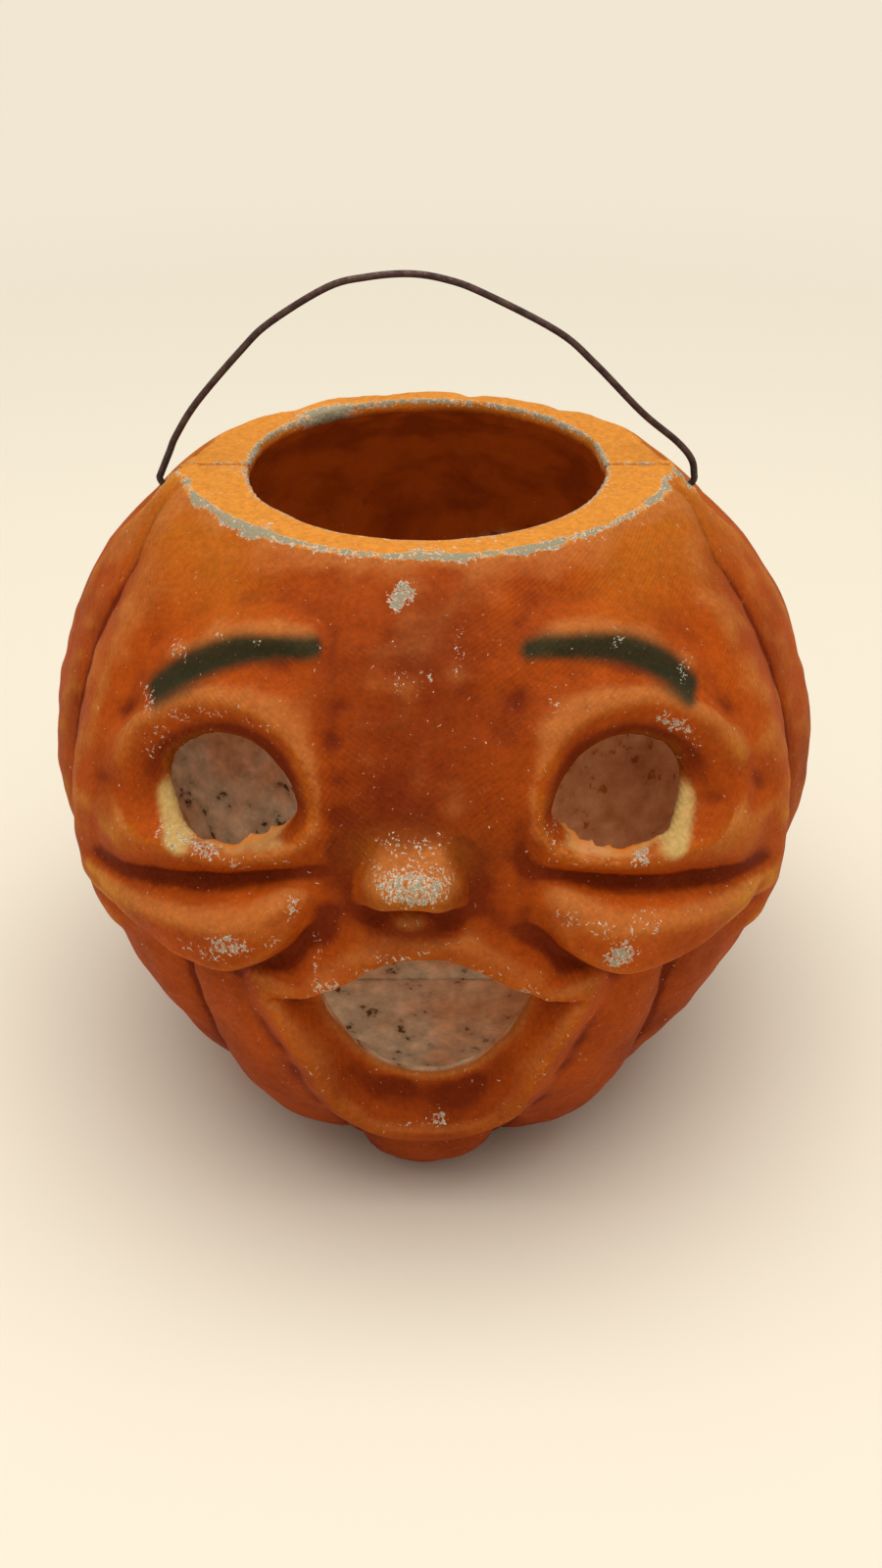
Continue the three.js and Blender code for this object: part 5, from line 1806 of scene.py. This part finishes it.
@dataclass
class WireBail:
    """The hand-bent wire: an uneven arch whose two ends turn in through the holes and hook down."""

    diameter: float = 1.6
    bend_radius: float = 2.2
    hook_length: float = 7
    hook_end: float = 0.5
    rise: float = 48.5
    arch: tuple = (
        (-0.955, 0.17), (-0.925, 0.25), (-0.84, 0.41), (-0.67, 0.65), (-0.56, 0.78), (-0.35, 0.94),
        (-0.21, 0.985), (-0.06, 1), (0.07, 0.975), (0.2, 0.915), (0.47, 0.74), (0.61, 0.59),
        (0.79, 0.36), (0.925, 0.22), (0.985, 0.13),
    )

    def build(self) -> bpy.types.Object:
        """Bends the wire.

        Returns:
            The finished piece.
        """
        low, high = (np.array(corner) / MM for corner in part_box("wire_bail"))
        middle_x, depth = (low[0] + high[0]) / 2, (low[1] + high[1]) / 2
        leg = (high[0] - low[0] - self.diameter) / 2
        hinge = high[2] - self.diameter / 2 - self.rise
        line = self.centre_line(leg, self.hook_reach(middle_x, low[2] + self.hook_end))
        places = np.array([(middle_x + x, depth, hinge + z) for x, z in line]) * MM
        data = bpy.data.curves.new("wire_line", "CURVE")
        data.dimensions = "3D"
        spline = data.splines.new("POLY")
        spline.points.add(len(places) - 1)
        spline.points.foreach_set("co", np.pad(places, ((0, 0), (0, 1)), constant_values=1).ravel())
        data.bevel_depth = self.diameter / 2 * MM
        data.bevel_resolution = 3
        data.use_fill_caps = True
        piece = bpy.data.objects.new("bent_wire_bail", data)
        bpy.context.scene.collection.objects.link(piece)
        select_only(piece)
        bpy.ops.object.convert(target="MESH")
        bpy.ops.object.shade_smooth_by_angle(angle=math.radians(50))
        return bpy.context.object

    def hook_reach(self, middle_x: float, height: float) -> float:
        """Returns how far out the hooks hang, from the CAD wire's points below a height."""
        points = read_points(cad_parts["wire_bail"]) / MM
        ends = points[points[:, 2] < height]
        return float(np.mean(np.abs(ends[:, 0] - middle_x)))

    def centre_line(self, leg: float, hook: float) -> list[Point]:
        """Works out the wire's line about the hinge, from the left hook's end to the right one's.

        Args:
            leg: How far out the legs stand.
            hook: How far out the hooks hang.

        Returns:
            The places along the line, across and up.
        """
        turn = self.bend_radius
        inwards = [math.radians(angle) for angle in np.linspace(180, 90, 9)]
        upwards = [math.radians(angle) for angle in np.linspace(-90, 0, 9)]
        right = [(hook, -self.hook_length)]
        right += [(hook + turn + turn * math.cos(a), -turn + turn * math.sin(a)) for a in inwards]
        right += [(leg - turn + turn * math.cos(a), turn + turn * math.sin(a)) for a in upwards]
        left = [(-x, z) for x, z in right]
        arch = [(x * leg, z * self.rise) for x, z in self.arch]
        over = curved([left[-1], *arch, right[-1]])[1:-1]
        return left + [tuple(point) for point in over] + right[::-1]


@dataclass
class Studio:
    """The pale floor and backdrop, the soft lights and the camera."""

    camera_place: Point = (3.2, -380.2)
    camera_height: float = 306
    pitch: float = 32.34
    focal_pixels: float = 1850
    picture_height: float = 1600
    sensor: float = 36
    paper: str = "#F1E7D2"
    paper_roughness: float = 0.85
    floor_size: float = 6
    lamp_size: float = 2
    lamp_power: float = 31
    lamp_place: tuple = (0, -0.35, 1.75)
    lamp_tilt: float = -11
    sky: tuple = (1, 0.97, 0.92, 1)
    sky_strength: float = 0.45
    fade_start: float = 0.3
    fade_end: float = 0.9

    def build(self, placing: Placing) -> None:
        """Sets up floor, lights, world and camera."""
        self.floor()
        self.lights()
        self.camera(placing)
        bpy.context.scene.view_settings.view_transform = "Standard"

    def floor(self) -> None:
        """Adds the flat sheet of pale paper that the lantern stands on."""
        bpy.ops.object.select_all(action="DESELECT")
        bpy.ops.mesh.primitive_plane_add(size=self.floor_size)
        sheet = new_piece("paper_sweep")
        material = bpy.data.materials.new("seamless_background_paper")
        material.use_nodes = True
        tree = material.node_tree
        shader = tree.nodes["Principled BSDF"]
        shader.inputs["Base Color"].default_value = linear(self.paper)
        shader.inputs["Roughness"].default_value = self.paper_roughness
        self.fade(tree, shader)
        sheet.data.materials.append(material)

    def seen(self, tree: bpy.types.NodeTree) -> bpy.types.NodeSocket:
        """Returns the socket that is 1 where the background is seen straight, mirrored or through."""
        rays = add_node(tree, "ShaderNodeLightPath").outputs
        mirrored_too = add_node(
            tree, "ShaderNodeMath", {0: rays["Is Camera Ray"], 1: rays["Is Glossy Ray"]},
            operation="MAXIMUM",
        ).outputs["Value"]
        return add_node(
            tree, "ShaderNodeMath", {0: mirrored_too, 1: rays["Is Transmission Ray"]},
            operation="MAXIMUM",
        ).outputs["Value"]

    def fade(self, tree: bpy.types.NodeTree, paper: bpy.types.Node) -> None:
        """Keeps the far paper evenly pale, past the object's shadow, as a lit backdrop is.

        Args:
            tree: The paper's tree.
            paper: The paper's shader.
        """
        place = add_node(tree, "ShaderNodeTexCoord").outputs["Object"]
        away = add_node(
            tree, "ShaderNodeVectorMath", {0: place}, operation="LENGTH"
        ).outputs["Value"]
        far = add_node(
            tree, "ShaderNodeMapRange",
            {"Value": away, "From Min": self.fade_start, "From Max": self.fade_end},
            interpolation_type="SMOOTHSTEP",
        ).outputs["Result"]
        share = add_node(
            tree, "ShaderNodeMath", {0: self.seen(tree), 1: far}, operation="MULTIPLY"
        ).outputs["Value"]
        glow = add_node(tree, "ShaderNodeEmission", {"Color": linear(self.paper), "Strength": 1.0})
        mixed = add_node(
            tree, "ShaderNodeMixShader",
            {0: share, 1: paper.outputs["BSDF"], 2: glow.outputs["Emission"]},
        )
        tree.links.new(mixed.outputs["Shader"], tree.nodes["Material Output"].inputs["Surface"])

    def lights(self) -> None:
        """Adds the large soft lamp overhead and the even light of the room."""
        lamp = bpy.data.lights.new("softbox", "AREA")
        lamp.size = self.lamp_size
        lamp.energy = self.lamp_power
        holder = bpy.data.objects.new("softbox", lamp)
        holder.location = self.lamp_place
        holder.rotation_euler = (math.radians(self.lamp_tilt), 0, 0)
        bpy.context.scene.collection.objects.link(holder)
        world = bpy.data.worlds.new("room")
        world.use_nodes = True
        tree = world.node_tree
        room = tree.nodes["Background"]
        room.inputs["Color"].default_value = self.sky
        room.inputs["Strength"].default_value = self.sky_strength
        shown = add_node(
            tree, "ShaderNodeBackground", {"Color": linear(self.paper), "Strength": 1.0}
        )
        mixed = add_node(
            tree, "ShaderNodeMixShader",
            {0: self.seen(tree), 1: room.outputs["Background"], 2: shown.outputs["Background"]},
        )
        tree.links.new(mixed.outputs["Shader"], tree.nodes["World Output"].inputs["Surface"])
        bpy.context.scene.world = world

    def camera(self, placing: Placing) -> None:
        """Adds the camera at the photograph's viewing angle."""
        data = bpy.data.cameras.new("camera")
        data.sensor_width = self.sensor
        data.lens = self.sensor * self.focal_pixels / self.picture_height
        data.clip_start = 0.01
        holder = bpy.data.objects.new("camera", data)
        x, y = (np.array(self.camera_place) + placing.shift[:2]) * MM
        holder.location = (x, y, self.camera_height * MM)
        holder.rotation_euler = (math.radians(90 - self.pitch), 0, 0)
        bpy.context.scene.collection.objects.link(holder)
        bpy.context.scene.camera = holder


def dress(piece: bpy.types.Object, material: bpy.types.Material) -> None:
    """Gives the piece its only material."""
    piece.data.materials.clear()
    piece.data.materials.append(material)


def report(piece: bpy.types.Object) -> None:
    """Logs a piece's size and its number of faces."""
    size = np.ptp(read_points(piece), axis=0) / MM
    log.info("%s: %.1f x %.1f x %.1f mm, %d faces", piece.name, *size, len(piece.data.polygons))


def main() -> None:
    """Builds the studio, and then the lantern's pieces in order."""
    logging.basicConfig(level=logging.INFO, format="%(message)s")
    placing = Placing()
    relief = FaceRelief()
    skin = LanternSkin()
    Studio().build(placing)
    pulp = PaintedPulp().make()
    for half, node in ((Half.FRONT, "front_shell"), (Half.BACK, "back_shell")):
        shell = PulpShell(half, skin, relief, placing).build()
        dress(shell, pulp)
        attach(shell, "lantern_body")
        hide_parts(node)
        report(shell)
    wire = WireBail().build()
    dress(wire, OxidisedWire().make())
    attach(wire, "bail")
    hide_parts("wire_bail")
    report(wire)
    paper = GummedPaper().make()
    for side in ("left", "right"):
        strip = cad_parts[f"seam_strip_{side}"]
        strip.material_slots[0].material = paper
        report(strip)


if __name__ == "__main__":
    main()
